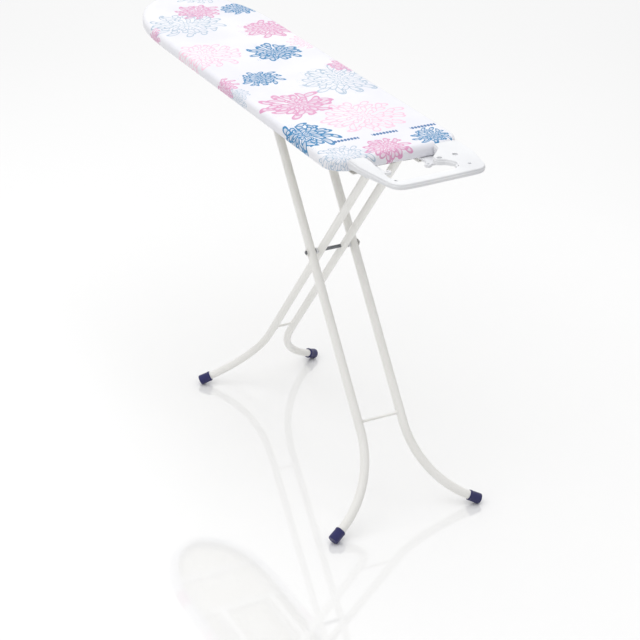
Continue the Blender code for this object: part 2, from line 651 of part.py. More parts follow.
def make_spring():
    """Torsion spring round the lever rod, just inside the near rail."""
    start = SPRING_RAIL_GAP - RAIL_WEB_Y
    points = []
    for step in range(SPRING_TURNS * SPRING_TURN_STEPS + 1):
        turns = step / SPRING_TURN_STEPS
        across, high = math.cos(math.tau * turns), math.sin(math.tau * turns)
        points.append(Vector((LEVER_X + SPRING_RADIUS * across, start + SPRING_PITCH * turns,
                              LEVER_Z + SPRING_RADIUS * high)))
    points.insert(0, points[0] - Vector((0.0, 0.0, SPRING_LEG_DOWN)))
    points.append(points[-1] + Vector((0.0, 0.0, SPRING_LEG_UP)))
    swept("lever_spring", points, SPRING_WIRE, MATERIALS["zinc"], resolution=0)


def rounded(corners, steps=4):
    """Outline through corners (x, y, radius), each rounded by an arc of its radius."""
    outline = []
    for i, (x, y, radius) in enumerate(corners):
        here = Vector((x, y))
        back = (Vector(corners[i - 1][:2]) - here).normalized()
        ahead = (Vector(corners[(i + 1) % len(corners)][:2]) - here).normalized()
        half = math.acos(max(-1.0, min(1.0, back.dot(ahead)))) / 2
        if radius == 0:
            outline.append((x, y))
            continue
        run = radius / math.tan(half)
        first, last = here + back * run, here + ahead * run
        for step in range(steps + 1):
            blend = step / steps
            back_share, ahead_share = (1 - blend) ** 2, blend ** 2
            here_share = 2 * blend * (1 - blend)
            outline.append(tuple(first * back_share + here * here_share + last * ahead_share))
    return outline



def box(name, low, high, finish):
    """Make a box between two corners."""
    outline = [(low[0], low[1]), (high[0], low[1]), (high[0], high[1]), (low[0], high[1])]
    return prism(name, outline, Matrix.Translation((0, 0, low[2])), high[2] - low[2], finish)


def join_tongue(rest, word, tongue_y, wall_y, lug_y):
    """Join a tongue, its wall up to the arm and its bored lug onto the rest."""
    finish = MATERIALS["plastic"]
    low, out = TONGUE_TOP - TONGUE_THICKNESS, HEEL_X + TONGUE_OUT
    tongue = box(f"{word}_tongue_join", (HEEL_X - TONGUE_IN, tongue_y[0], low),
                 (out, tongue_y[1], TONGUE_TOP), finish)
    cut(rest, tongue, "UNION")
    wall = box(f"{word}_wall_join", (HEEL_X + REST_GAP, wall_y[0], low),
               (out, wall_y[1], REST_TOP - WALL_TOP_GAP), finish)
    cut(rest, wall, "UNION")
    x = out - LUG_INSET
    cut(rest, rod(f"{word}_lug_join", (x, lug_y, low - LUG_LIP), (x, lug_y, TONGUE_TOP + LUG_LIP),
                  LUG_RADIUS, finish), "UNION")
    cut(rest, rod(f"{word}_lug_cut", (x, lug_y, low - 0.01), (x, lug_y, TONGUE_TOP + 0.01),
                  LUG_BORE, finish, 12))


def make_iron_rest():
    """Iron rest: a moulded frame with a wide far arm, two lugs and screwed tongues."""
    finish = MATERIALS["plastic"]
    corners = [(HEEL_X + x, y, radius) for x, y, radius in REST_FRAME + REST_WINDOW[::-1]]
    rest = plate("iron_rest", [rounded(corners)], REST_TOP - REST_DEPTH, REST_TOP, REST_BEVEL, finish)
    for vertex in rest.data.vertices:
        if vertex.co.z < REST_TOP - REST_DEPTH / 2:
            vertex.co.z -= REST_ROOT_DEPTH * max(0.0, 1 - (vertex.co.x - HEEL_X) / REST_ROOT_RUN)
    for word, (tongue_y, wall_y, lug_y) in REST_TONGUES.items():
        join_tongue(rest, word, tongue_y, wall_y, lug_y)
    for tag, (x, y, radius) in REST_HOLES.items():
        low, high = (HEEL_X + x, y, REST_TOP - 0.03), (HEEL_X + x, y, REST_TOP + 0.01)
        cut(rest, rod(f"rest_{tag}_cut", low, high, radius, finish, 12))
    foot = TONGUE_TOP - TONGUE_THICKNESS
    for name, y in SCREWS.items():
        cut(rest, rod(name + "_rest_cut", (SCREW_X, y, foot - 0.01), (SCREW_X, y, TONGUE_TOP + 0.01),
                      SCREW_RADIUS + BORE_GAP, finish, 8))
        make_screw(name, y, foot - GAP - SCREW_HEAD)
    return rest


def make_screw(name, y, foot):
    """Pan-head screw that holds a tongue up against the rim."""
    profile = [(0, 0), (SCREW_HEAD_RADIUS * 0.6, 0), (SCREW_HEAD_RADIUS, 0.001),
               (SCREW_HEAD_RADIUS, SCREW_HEAD), (SCREW_RADIUS, SCREW_HEAD),
               (SCREW_RADIUS, SCREW_LENGTH), (0, SCREW_LENGTH)]
    lathe(name, profile, MATERIALS["zinc"], Matrix.Translation((SCREW_X, y, foot)), 10)


MATERIALS = {}


def main():
    """Clear the scene and build every sub-part."""
    for old in list(bpy.data.objects):
        bpy.data.objects.remove(old)
    MATERIALS.update({
        "fabric": make_material("printed_cotton", (0.86, 0.86, 0.90), 0.85),
        "foam": make_material("foam", (0.82, 0.82, 0.80), 0.95),
        "elastic": make_material("elastic", (0.80, 0.80, 0.80), 0.80),
        "painted": make_material("white_enamel", (0.80, 0.79, 0.76), 0.35),
        "plastic": make_material("light_grey_plastic", (0.74, 0.74, 0.75), 0.45),
        "cap": make_material("navy_plastic", (0.015, 0.015, 0.10), 0.40),
        "bush": make_material("black_nylon", (0.03, 0.03, 0.03), 0.50),
        "axle": make_material("dark_steel", (0.20, 0.20, 0.22), 0.35, 1.0),
        "zinc": make_material("zinc_plated_steel", (0.62, 0.62, 0.64), 0.30, 1.0),
    })
    make_top()
    for word, side in SIDES.items():
        make_rail(f"rail_{word}", side)
    make_hinge()
    Leg("inner", HINGE_X, INNER_SPREAD, INNER_RADIUS).build(AXLE_RADIUS, INNER_CROSSBAR)
    Leg("outer", SLIDER_X, OUTER_SPREAD, OUTER_RADIUS).build(SLIDER_RADIUS, OUTER_CROSSBAR)
    make_pivot()
    make_slider()
    make_lever()
    make_iron_rest()


main()
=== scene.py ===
"""The looks of a folding ironing board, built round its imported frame.

The board's cover, foam, mesh, iron rest, legs and small hardware are surfaces worked out with
numpy. Sheet-metal parts keep their frame shape and get a finish. Metres, +Z up, +X to the heel.
"""
import json
import logging
import math
from collections.abc import Callable
from dataclasses import dataclass, field
from enum import Enum

import bmesh
import bpy
import numpy as np
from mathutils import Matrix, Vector

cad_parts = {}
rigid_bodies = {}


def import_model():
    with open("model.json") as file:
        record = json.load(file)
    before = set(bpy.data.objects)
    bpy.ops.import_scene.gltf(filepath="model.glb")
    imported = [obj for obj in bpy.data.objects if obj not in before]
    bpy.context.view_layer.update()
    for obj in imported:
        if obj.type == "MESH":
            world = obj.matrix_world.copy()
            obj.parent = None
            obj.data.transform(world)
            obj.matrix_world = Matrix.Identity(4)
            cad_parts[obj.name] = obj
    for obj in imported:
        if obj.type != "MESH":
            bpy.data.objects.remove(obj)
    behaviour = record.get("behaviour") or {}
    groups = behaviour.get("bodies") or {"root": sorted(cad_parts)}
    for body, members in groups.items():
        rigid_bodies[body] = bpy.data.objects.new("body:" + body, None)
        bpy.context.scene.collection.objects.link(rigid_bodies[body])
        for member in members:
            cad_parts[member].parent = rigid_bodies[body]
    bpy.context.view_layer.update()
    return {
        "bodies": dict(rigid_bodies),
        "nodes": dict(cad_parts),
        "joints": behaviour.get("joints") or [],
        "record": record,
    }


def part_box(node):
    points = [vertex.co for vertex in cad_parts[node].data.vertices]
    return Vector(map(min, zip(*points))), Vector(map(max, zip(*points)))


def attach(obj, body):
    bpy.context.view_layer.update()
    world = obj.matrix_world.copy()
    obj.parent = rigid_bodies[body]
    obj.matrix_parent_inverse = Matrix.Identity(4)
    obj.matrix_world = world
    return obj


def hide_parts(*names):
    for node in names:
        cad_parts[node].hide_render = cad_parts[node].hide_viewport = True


Array = np.ndarray
Shape = tuple[np.ndarray, np.ndarray]
Profile = list[tuple[float, float]]
Triple = tuple[float, float, float]
Material = bpy.types.Material
Piece = bpy.types.Object

LOG = logging.getLogger("ironing_board")
SIDES = {"near": -1.0, "far": 1.0}
ALONG_Y = np.array((0.0, 1.0, 0.0))
SMALLEST = 1e-9  # keeps the length of a zero vector off zero
WELD = 1e-6  # points closer than this are one point, in metres
HOLE_EDGE = 0.0006  # largest rounding of a hole or a small plate, in metres


# ---------------------------------------------------------------- shader maths


def operator(operation: str, swapped: bool = False) -> "Callable[[Wire, Wire | float], Wire]":
    """A method that joins a wire and another value, or the other and the wire, by a Math node."""

    def apply(self: "Wire", other: "Wire | float") -> "Wire":
        """Add the node."""
        return self.maths(operation, *((other, self) if swapped else (self, other)))

    return apply


class Wire:
    """One output of a shader tree that can be used in Python expressions."""

    def __init__(self, desk: "NodeDesk", socket: bpy.types.NodeSocket) -> None:
        """Keep the tree and the socket."""
        self.desk = desk
        self.socket = socket

    def maths(self, operation: str, *values: "Wire | float", clamp: bool = False) -> "Wire":
        """Add a Math node that takes these values."""
        settings = {"operation": operation, "use_clamp": clamp}
        return self.desk.wire("ShaderNodeMath", 0, settings, dict(enumerate(values)))

    __add__ = __radd__ = operator("ADD")
    __mul__ = __rmul__ = operator("MULTIPLY")
    __sub__ = operator("SUBTRACT")
    __rsub__ = operator("SUBTRACT", swapped=True)
    __truediv__ = operator("DIVIDE")

    def call(self, operation: str, *others: "Wire | float") -> "Wire":
        """Any other Math operation on this value."""
        return self.maths(operation, self, *others)

    def clamped(self) -> "Wire":
        """The value held between 0 and 1."""
        return self.maths("ADD", self, 0.0, clamp=True)

    def band(self, low: float, high: float) -> "Wire":
        """Smooth step from 0 at low to 1 at high."""
        return self.desk.wire("ShaderNodeMapRange", 0, {"interpolation_type": "SMOOTHSTEP"},
                              {"Value": self, "From Min": low, "From Max": high})

    def parts(self) -> "tuple[Wire, ...]":
        """The three parts of a vector."""
        split = self.desk.node("ShaderNodeSeparateXYZ", None, {0: self})
        return tuple(Wire(self.desk, socket) for socket in split.outputs)


class NodeDesk:
    """A material's node tree with short ways to add nodes."""

    def __init__(self, name: str) -> None:
        """Start a material that holds only a Principled shader and its output."""
        self.material = bpy.data.materials.new(name)
        self.material.use_nodes = True
        self.tree = self.material.node_tree
        self.shader = self.tree.nodes["Principled BSDF"]

    def node(self, kind: str, settings: dict | None = None, inputs: dict | None = None) -> bpy.types.Node:
        """Add a node.

        Args:
            kind: Node type.
            settings: Properties, set first.
            inputs: Socket name or number to a value or a Wire.

        Returns:
            The new node.
        """
        made = self.tree.nodes.new(kind)
        for key, value in (settings or {}).items():
            setattr(made, key, value)
        for key, value in (inputs or {}).items():
            self.feed(made.inputs[key], value)
        return made

    def feed(self, socket: bpy.types.NodeSocket, value: "Wire | float | tuple") -> None:
        """Link a Wire to a socket, or set its value."""
        if isinstance(value, Wire):
            self.tree.links.new(value.socket, socket)
        else:
            socket.default_value = value

    def wire(self, kind: str, output: str | int = 0, settings: dict | None = None,
             inputs: dict | None = None) -> Wire:
        """Add a node and give one of its outputs."""
        return Wire(self, self.node(kind, settings, inputs).outputs[output])

    def place(self) -> Wire:
        """Object coordinates."""
        return self.wire("ShaderNodeTexCoord", "Object")

    def scaled(self, vector: Wire, scale: Triple) -> Wire:
        """A vector stretched along each axis."""
        return self.wire("ShaderNodeMapping", 0, None, {"Vector": vector, "Scale": scale})

    def noise(self, vector: Wire, scale: float, detail: float = 3.0, roughness: float = 0.5) -> Wire:
        """Noise value at a scale."""
        return self.wire("ShaderNodeTexNoise", "Fac", None,
                         {"Vector": vector, "Scale": scale, "Detail": detail, "Roughness": roughness})

    def mix(self, amount: "Wire | float", first: "Wire | tuple", second: "Wire | tuple") -> Wire:
        """Blend from the first colour to the second by an amount from 0 to 1."""
        made = self.node("ShaderNodeMix", {"data_type": "RGBA"}, {0: amount, 6: first, 7: second})
        return Wire(self, made.outputs[2])

    def bump(self, height: Wire, distance: float, strength: float = 1.0) -> Wire:
        """Bump the normal by a height; distance is the height of 1 in metres."""
        inputs = {"Height": height, "Distance": distance, "Strength": strength}
        return self.wire("ShaderNodeBump", 0, None, inputs)

    def finish(self, **sockets: "Wire | float | tuple") -> Material:
        """Feed the shader's sockets, named with underscores for spaces."""
        for key, value in sockets.items():
            self.feed(self.shader.inputs[key.replace("_", " ")], value)
        return self.material


def rgba(red: float, green: float, blue: float) -> tuple[float, float, float, float]:
    """A linear colour from values as a paint chart gives them, from 0 to 255."""
    made = [((c / 255 + 0.055) / 1.055) ** 2.4 if c > 10 else c / 255 / 12.92 for c in (red, green, blue)]
    return (*made, 1.0)


# ---------------------------------------------------------------- finishes


@dataclass(frozen=True)
class CoatedMetal:
    """Powder coat or plastic with a fine skin: a tint that drifts, orange peel and scuffs."""

    name: str
    colour: Triple
    shade: Triple
    roughness: float = 0.35
    grain: float = 900.0
    relief: float = 0.00004
    drift_scale: float = 9.0
    scuff_scale: float = 70.0
    scuff_gain: float = 0.12
    grain_gain: float = 0.06

    def make(self) -> Material:
        """Build the material."""
        desk = NodeDesk(self.name)
        place = desk.place()
        drift = desk.noise(place, self.drift_scale, 4.0)
        speck = desk.noise(place, self.grain, 2.0, 0.6)
        scuff = desk.noise(desk.scaled(place, (1.0, 1.0, 0.35)), self.scuff_scale, 6.0, 0.7).band(0.52, 0.78)
        colour = desk.mix(drift.band(0.3, 0.75), rgba(*self.colour), rgba(*self.shade))
        rough = scuff * self.scuff_gain + speck * self.grain_gain + (self.roughness - self.grain_gain / 2)
        normal = desk.bump(speck + drift * 0.5, self.relief)
        return desk.finish(Base_Color=colour, Roughness=rough, Normal=normal)


@dataclass(frozen=True)
class PlatedSteel:
    """Plated steel: drawn lines along one axis, dull patches and a bright base."""

    name: str
    colour: Triple
    shade: Triple
    roughness: float = 0.3
    stretch: Triple = (400.0, 30.0, 400.0)
    patch_scale: float = 60.0
    patch_gain: float = 0.25
    line_gain: float = 0.1
    mean_rise: float = 0.15
    relief: float = 0.00002

    def make(self) -> Material:
        """Build the material."""
        desk = NodeDesk(self.name)
        place = desk.place()
        lines = desk.noise(desk.scaled(place, self.stretch), 2.0, 4.0, 0.6)
        patches = desk.noise(place, self.patch_scale, 5.0, 0.65)
        dull = (lines * 0.5 + patches * 0.5).band(0.35, 0.7)
        colour = desk.mix(dull, rgba(*self.colour), rgba(*self.shade))
        rough = patches * self.patch_gain + lines * self.line_gain + (self.roughness - self.mean_rise)
        normal = desk.bump(lines, self.relief)
        return desk.finish(Base_Color=colour, Roughness=rough, Metallic=1.0, Normal=normal)


@dataclass(frozen=True)
class OpenFoam:
    """Thin polyurethane foam: open cells and a faint yellow cast."""

    name: str = "open_foam"
    cell_scale: float = 900.0
    cast_scale: float = 14.0
    relief: float = 0.0004

    def make(self) -> Material:
        """Build the material."""
        desk = NodeDesk(self.name)
        place = desk.place()
        cells = desk.wire("ShaderNodeTexVoronoi", "Distance", None,
                          {"Vector": place, "Scale": self.cell_scale})
        cast = desk.noise(place, self.cast_scale, 3.0)
        colour = desk.mix(cast.band(0.3, 0.7), rgba(236, 234, 222), rgba(222, 218, 200))
        shaded = desk.mix(cells.band(0.0, 0.45), rgba(190, 186, 170), colour)
        return desk.finish(Base_Color=shaded, Roughness=0.95, Normal=desk.bump(cells, self.relief))


@dataclass(frozen=True)
class KnitElastic:
    """Covered elastic cord: a braid of slanted threads."""

    name: str = "knit_elastic"
    braid_scale: float = 500.0
    relief: float = 0.0001

    def make(self) -> Material:
        """Build the material."""
        desk = NodeDesk(self.name)
        braid = desk.wire("ShaderNodeTexWave", "Fac", {"bands_direction": "DIAGONAL"},
                          {"Vector": desk.place(), "Scale": self.braid_scale, "Distortion": 1.0})
        colour = desk.mix(braid, rgba(205, 205, 208), rgba(240, 240, 242))
        return desk.finish(Base_Color=colour, Roughness=0.85, Normal=desk.bump(braid, self.relief))


class Ink(Enum):
    """Printing inks of the cover, as paint-chart values."""

    PINK = (218, 152, 190)
    BLUE = (8, 122, 176)
    MIST = (160, 184, 204)
    BLUSH = (247, 190, 214)


@dataclass(frozen=True)
class Flower:
    """One printed flower: its middle on the cloth, its radius, ink, turn and seed."""

    x: float
    y: float
    radius: float
    ink: Ink
    turn: float = 0.0
    seed: float = 0.0


@dataclass(frozen=True)
class PetalRing:
    """A ring of looped petals, in parts of the flower's radius."""

    count: int
    start: float
    length: float
    width: float


BOLD_RINGS = tuple(PetalRing(*ring) for ring in (
    (11, 0.36, 0.56, 0.27), (10, 0.30, 0.50, 0.25), (10, 0.22, 0.46, 0.23), (9, 0.16, 0.40, 0.20),
    (8, 0.10, 0.34, 0.17), (7, 0.05, 0.27, 0.14), (5, 0.0, 0.18, 0.11)))
FINE_RINGS = tuple(PetalRing(*ring) for ring in (
    (13, 0.56, 0.38, 0.22), (12, 0.46, 0.38, 0.20), (12, 0.34, 0.36, 0.18), (10, 0.22, 0.33, 0.16),
    (8, 0.12, 0.28, 0.14), (6, 0.03, 0.22, 0.12)))


@dataclass(frozen=True)
class InkLayer:
    """How one layer of flowers is printed.

    Attributes:
        name: The layer's name in PRINT and in the cover's attributes.
        rings: Rings of petals from the outside in.
        line: Share of a petal's half width that its outline takes.
        tint: Ink inside a petal near its root.
        strength: Ink of a full line.
    """

    name: str
    rings: tuple[PetalRing, ...]
    line: float
    tint: float
    strength: float


INK_LAYERS = (InkLayer("pale", FINE_RINGS, 0.27, 0.14, 0.85), InkLayer("strong", BOLD_RINGS, 0.33, 0.80, 1.0))


@dataclass(frozen=True)
class PrintedCotton:
    """White cotton with two layers of printed flowers, leaf marks at the heel and a plain weave.

    The petal fields are shares of a sector, a ring or a radius. The keys only spread the random
    values, and the mark and thread fields are in metres on the flat cloth.
    """

    name: str = "printed_cotton"
    swirl: float = 0.8
    seed_turn: float = 0.61
    ring_key: float = 23.7
    seed_key: float = 7.31
    length_spread: float = 0.55
    least_length: float = 0.62
    bend_spread: float = 0.55
    shift_spread: float = 0.16
    root_width: float = 0.35
    tip_gain: float = 0.75
    mark_x: float = 0.421
    mark_pitch: float = 0.0074
    mark_half: float = 0.0058
    mark_slant: float = 0.14
    mark_slim: float = 2.3
    group_pitch: float = 0.089
    group_shift: float = 0.0245
    row_middle: float = 0.02
    row_half: float = 0.125
    thread: float = 0.0007
    relief: float = 0.00009

    def petals(self, desk: NodeDesk, layer: InkLayer) -> Wire:
        """Draw one layer of flowers as looped outlines.

        Each ring is cut into equal sectors. In a sector a petal is an ellipse that starts at the
        ring's inner radius, with a length, a bend and a shift of its own. It widens to its tip.
        Its outline is inked, its inside is cleared, and later rings cover earlier ones.

        Args:
            desk: The material's tree.
            layer: The layer, whose attribute holds (u, v, seed) inside a flower of radius 1.

        Returns:
            Amount of ink from 0 to 1.
        """
        local = desk.wire("ShaderNodeAttribute", "Vector", {"attribute_name": layer.name + "_place"})
        u, v, seed = local.parts()
        radius = (u * u + v * v).call("SQRT")
        angle = v.call("ARCTAN2", u) / math.tau + 0.5
        ink: Wire | None = None
        for index, ring in enumerate(layer.rings):
            turned_by = seed * self.seed_turn + index * 0.5
            sector = angle * ring.count + turned_by + radius * (self.swirl * (-1) ** index)
            cell = sector.call("FLOOR")
            wrapped = cell.call("FLOORED_MODULO", float(ring.count))
            key = {0: wrapped + index * self.ring_key, 1: seed * self.seed_key + 0.5}
            chance = desk.wire("ShaderNodeTexWhiteNoise", "Color", {"noise_dimensions": "2D"},
                               {"Vector": desk.wire("ShaderNodeCombineXYZ", 0, None, key)})
            first, second, third = chance.parts()
            length = first * (self.length_spread * ring.length) + self.least_length * ring.length
            reach = (radius - ring.start) / length
            bend = (second - 0.5) * self.bend_spread
            side = sector - cell - 0.5 + bend * reach * reach + (third - 0.5) * self.shift_spread
            across = side * radius * (math.tau / ring.count) / (ring.width * 0.5)
            belly = across / (reach.clamped() * self.tip_gain + self.root_width)
            along = (reach - 0.5) * 2.0
            shape = (belly * belly + along * along).call("SQRT")
            inside = 1.0 - shape.band(0.97, 1.03)
            stroke = shape.band(1.0 - layer.line - 0.08, 1.0 - layer.line + 0.06) * inside
            washed = (stroke + inside * (1.0 - reach).clamped() * layer.tint).clamped()
            ink = washed if ink is None else ink * (1.0 - inside) + washed
        return ink.clamped()

    def marks(self, cloth: Wire) -> Wire:
        """A row of small leaf marks across the heel, in three groups."""
        x, y, _ = cloth.parts()
        leaf = (y / self.mark_pitch).call("FRACT") - 0.5
        slant = (x - self.mark_x) / self.mark_half
        shape = (leaf + slant * self.mark_slant) * self.mark_slim
        leafy = 1.0 - (shape * shape + slant * slant).call("SQRT").band(0.9, 1.15)
        group = ((y + self.group_shift) / self.group_pitch).call("FRACT") - 0.5
        away = (y - self.row_middle).call("ABSOLUTE")
        inner = 1.0 - away.band(self.row_half - 0.001, self.row_half + 0.001)
        return leafy * inner * (1.0 - group.call("ABSOLUTE").band(0.32, 0.34))

    def make(self) -> Material:
        """Build the material."""
        desk = NodeDesk(self.name)
        cloth = desk.wire("ShaderNodeUVMap", 0, {"uv_map": "cloth"})
        place = desk.place()
        drift = desk.noise(place, 6.0, 3.0).band(0.3, 0.7)
        colour = desk.mix(drift, rgba(237, 237, 241), rgba(230, 230, 237))
        worn = desk.noise(place, 420.0, 2.0, 0.7).band(0.1, 0.5) * 0.15 + 0.85
        for layer in INK_LAYERS:
            ink_colour = desk.wire("ShaderNodeAttribute", "Color", {"attribute_name": layer.name + "_ink"})
            colour = desk.mix(self.petals(desk, layer) * worn * layer.strength, colour, ink_colour)
        colour = desk.mix(self.marks(cloth), colour, rgba(62, 112, 166))
        along, across, _ = cloth.parts()
        turns = math.tau / self.thread
        weave = (along * turns).call("SINE") * (across * turns).call("SINE") * 0.5 + 0.5
        slub = desk.noise(desk.scaled(place, (60.0, 400.0, 60.0)), 1.0, 2.0)
        shaded = desk.mix(weave * 0.10, colour, desk.mix(0.5, colour, rgba(205, 206, 214)))
        normal = desk.bump(weave + slub * 0.6, self.relief, 0.7)
        return desk.finish(Base_Color=shaded, Roughness=0.86, Normal=normal, Sheen_Weight=0.15)


class Palette:
    """Every finish of the board, made once."""

    def __init__(self) -> None:
        """Make the materials."""
        self.cotton = PrintedCotton().make()
        self.foam = OpenFoam().make()
        self.elastic = KnitElastic().make()
        self.enamel = CoatedMetal("white_enamel", (243, 242, 239), (238, 237, 233), 0.34).make()
        self.rest = CoatedMetal("light_grey_plastic", (231, 232, 234), (222, 223, 226), 0.48, 1400.0,
                                0.00006).make()
        self.navy = CoatedMetal("navy_plastic", (28, 29, 92), (20, 21, 70), 0.38, 1100.0, 0.00006).make()
        self.nylon = CoatedMetal("black_nylon", (38, 38, 40), (26, 26, 28), 0.5, 1200.0).make()
        self.axle = PlatedSteel("dark_steel", (128, 130, 134), (88, 90, 96), 0.34).make()
        self.zinc = PlatedSteel("zinc_plated_steel", (206, 208, 212), (176, 180, 186), 0.32).make()


# ---------------------------------------------------------------- mesh tools


def grid_faces(rows: int, columns: int, wrap: bool) -> Array:
    """Quads of a grid of points stored row by row; wrap joins the last column to the first."""
    row, column = np.meshgrid(np.arange(rows - 1), np.arange(columns if wrap else columns - 1), indexing="ij")
    after = (column + 1) % columns
    low, high = row * columns, (row + 1) * columns
    return np.stack([low + column, low + after, high + after, high + column], axis=-1).reshape(-1, 4)


def mesh_object(name: str, points: Array, faces: Array, finish: Material, angle: float = 40.0) -> Piece:
    """Put points and equal-sized faces into a new object.

    Args:
        name: The piece's name.
        points: Array of N by 3 coordinates.
        faces: Array of M by 3 or M by 4 vertex numbers.
        finish: Its material.
        angle: Edges sharper than this stay sharp, in degrees.

    Returns:
        The object, at the origin.
    """
    mesh = bpy.data.meshes.new(name)
    sides = faces.shape[1]
    mesh.vertices.add(len(points))
    mesh.vertices.foreach_set("co", points.astype(np.float32).ravel())
    mesh.loops.add(faces.size)
    mesh.loops.foreach_set("vertex_index", faces.astype(np.int32).ravel())
    mesh.polygons.add(len(faces))
    mesh.polygons.foreach_set("loop_start", np.arange(0, faces.size, sides, dtype=np.int32))
    mesh.update(calc_edges=True)
    mesh.validate()
    return mesh_piece(name, mesh, finish, angle)


def mesh_piece(name: str, mesh: bpy.types.Mesh, finish: Material, angle: float) -> Piece:
    """Shade a mesh smooth, give it its finish and link it as an object."""
    mesh.shade_smooth()
    mesh.set_sharp_from_angle(angle=math.radians(angle))
    mesh.materials.append(finish)
    made = bpy.data.objects.new(name, mesh)
    bpy.context.scene.collection.objects.link(made)
    return made


def weld_and_face_out(piece: Piece) -> None:
    """Merge doubled points and turn every face outwards."""
    bm = bmesh.new()
    bm.from_mesh(piece.data)
    bmesh.ops.remove_doubles(bm, verts=bm.verts, dist=WELD)
    bmesh.ops.recalc_face_normals(bm, faces=bm.faces)
    if bm.calc_volume(signed=True) < 0:
        bmesh.ops.reverse_faces(bm, faces=bm.faces)
    bm.to_mesh(piece.data)
    bm.free()


def solid(name: str, shape: Shape, finish: Material, node: str, body: str) -> Piece:
    """Make a closed piece from points and faces, in place of a CAD node, and let it ride a body."""
    piece = mesh_object(name, *shape, finish)
    weld_and_face_out(piece)
    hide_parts(node)
    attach(piece, body)
    return piece


def corners_of(node: str) -> Shape:
    """Lowest and highest corner of a CAD node's box."""
    low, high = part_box(node)
    return np.array(low), np.array(high)


def unit(vectors: Array) -> Array:
    """Vectors made one long, along the last axis."""
    return vectors / np.maximum(np.linalg.norm(vectors, axis=-1, keepdims=True), SMALLEST)


def run_along(points: Array) -> Array:
    """Distance from the first point to each point, along the line through them."""
    return np.concatenate([[0], np.cumsum(np.linalg.norm(np.diff(points, axis=0), axis=1))])


def frame_along(path: Array, up: Array) -> Shape:
    """Two unit directions across a path at each point: up made square to it, and the other."""
    ahead = unit(np.gradient(path, axis=0))
    first = unit(up - (ahead @ up)[:, None] * ahead)
    return first, np.cross(ahead, first)


def swept_tube(path: Array, radii: Array, up: Triple, sides: int = 32) -> Shape:
    """Carry a circle along a path: point = path + radius (cos a first + sin a second).

    Args:
        path: N by 3 points of the centre line.
        radii: Radius at each point; it falls to zero at the ends to close them.
        up: A direction that the path never follows.
        sides: Points round the circle.

    Returns:
        Points and quads.
    """
    first, second = frame_along(path, np.array(up, dtype=float))
    turn = np.linspace(0, math.tau, sides, endpoint=False)
    ring = np.cos(turn)[None, :, None] * first[:, None, :] + np.sin(turn)[None, :, None] * second[:, None, :]
    points = path[:, None, :] + ring * radii[:, None, None]
    return points.reshape(-1, 3), grid_faces(len(path), sides, True)


def turned(profile: Profile, origin: Array, axis: Array, sides: int = 48) -> Shape:
    """Turn a profile of (radius, height) round an axis: origin + height axis + radius (cos, sin)."""
    shape = np.array(profile, dtype=float)
    axis = unit(axis)
    upright = abs(axis[2]) > 0.9
    first = unit(np.cross(axis, (1.0, 0.0, 0.0) if upright else (0.0, 0.0, 1.0)))
    second = np.cross(axis, first)
    turn = np.linspace(0, math.tau, sides, endpoint=False)
    ring = np.cos(turn)[:, None] * first + np.sin(turn)[:, None] * second
    points = origin + shape[:, 1, None, None] * axis + shape[:, 0, None, None] * ring[None, :, :]
    return points.reshape(-1, 3), grid_faces(len(shape), sides, True)


def fillet(centre: tuple[float, float], radius: float, start: float, end: float, steps: int = 6) -> Profile:
    """Points on an arc in a profile's plane, with angles in degrees."""
    turn = np.radians(np.linspace(start, end, steps + 1))
    return list(zip(centre[0] + radius * np.cos(turn), centre[1] + radius * np.sin(turn)))


def rounded_rod(radius: float, length: float, edge: float) -> Profile:
    """Profile of a rod from end to end, with rounded end edges and closed poles."""
    low = fillet((radius - edge, edge), edge, -90, 0, 4)
    high = fillet((radius - edge, length - edge), edge, 0, 90, 4)
    return [(0.0, 0.0)] + low + high + [(0.0, length)]


def rounded_ring(bore: float, radius: float, length: float, edge: float) -> Profile:
    """Closed profile of a sleeve or washer with rounded outer edges, back to its first point."""
    body = [(bore, 0.0)] + fillet((radius - edge, edge), edge, -90, 0, 3)
    body += fillet((radius - edge, length - edge), edge, 0, 90, 3)
    return body + [(bore, length), (bore, 0.0)]


# ---------------------------------------------------------------- the board's top


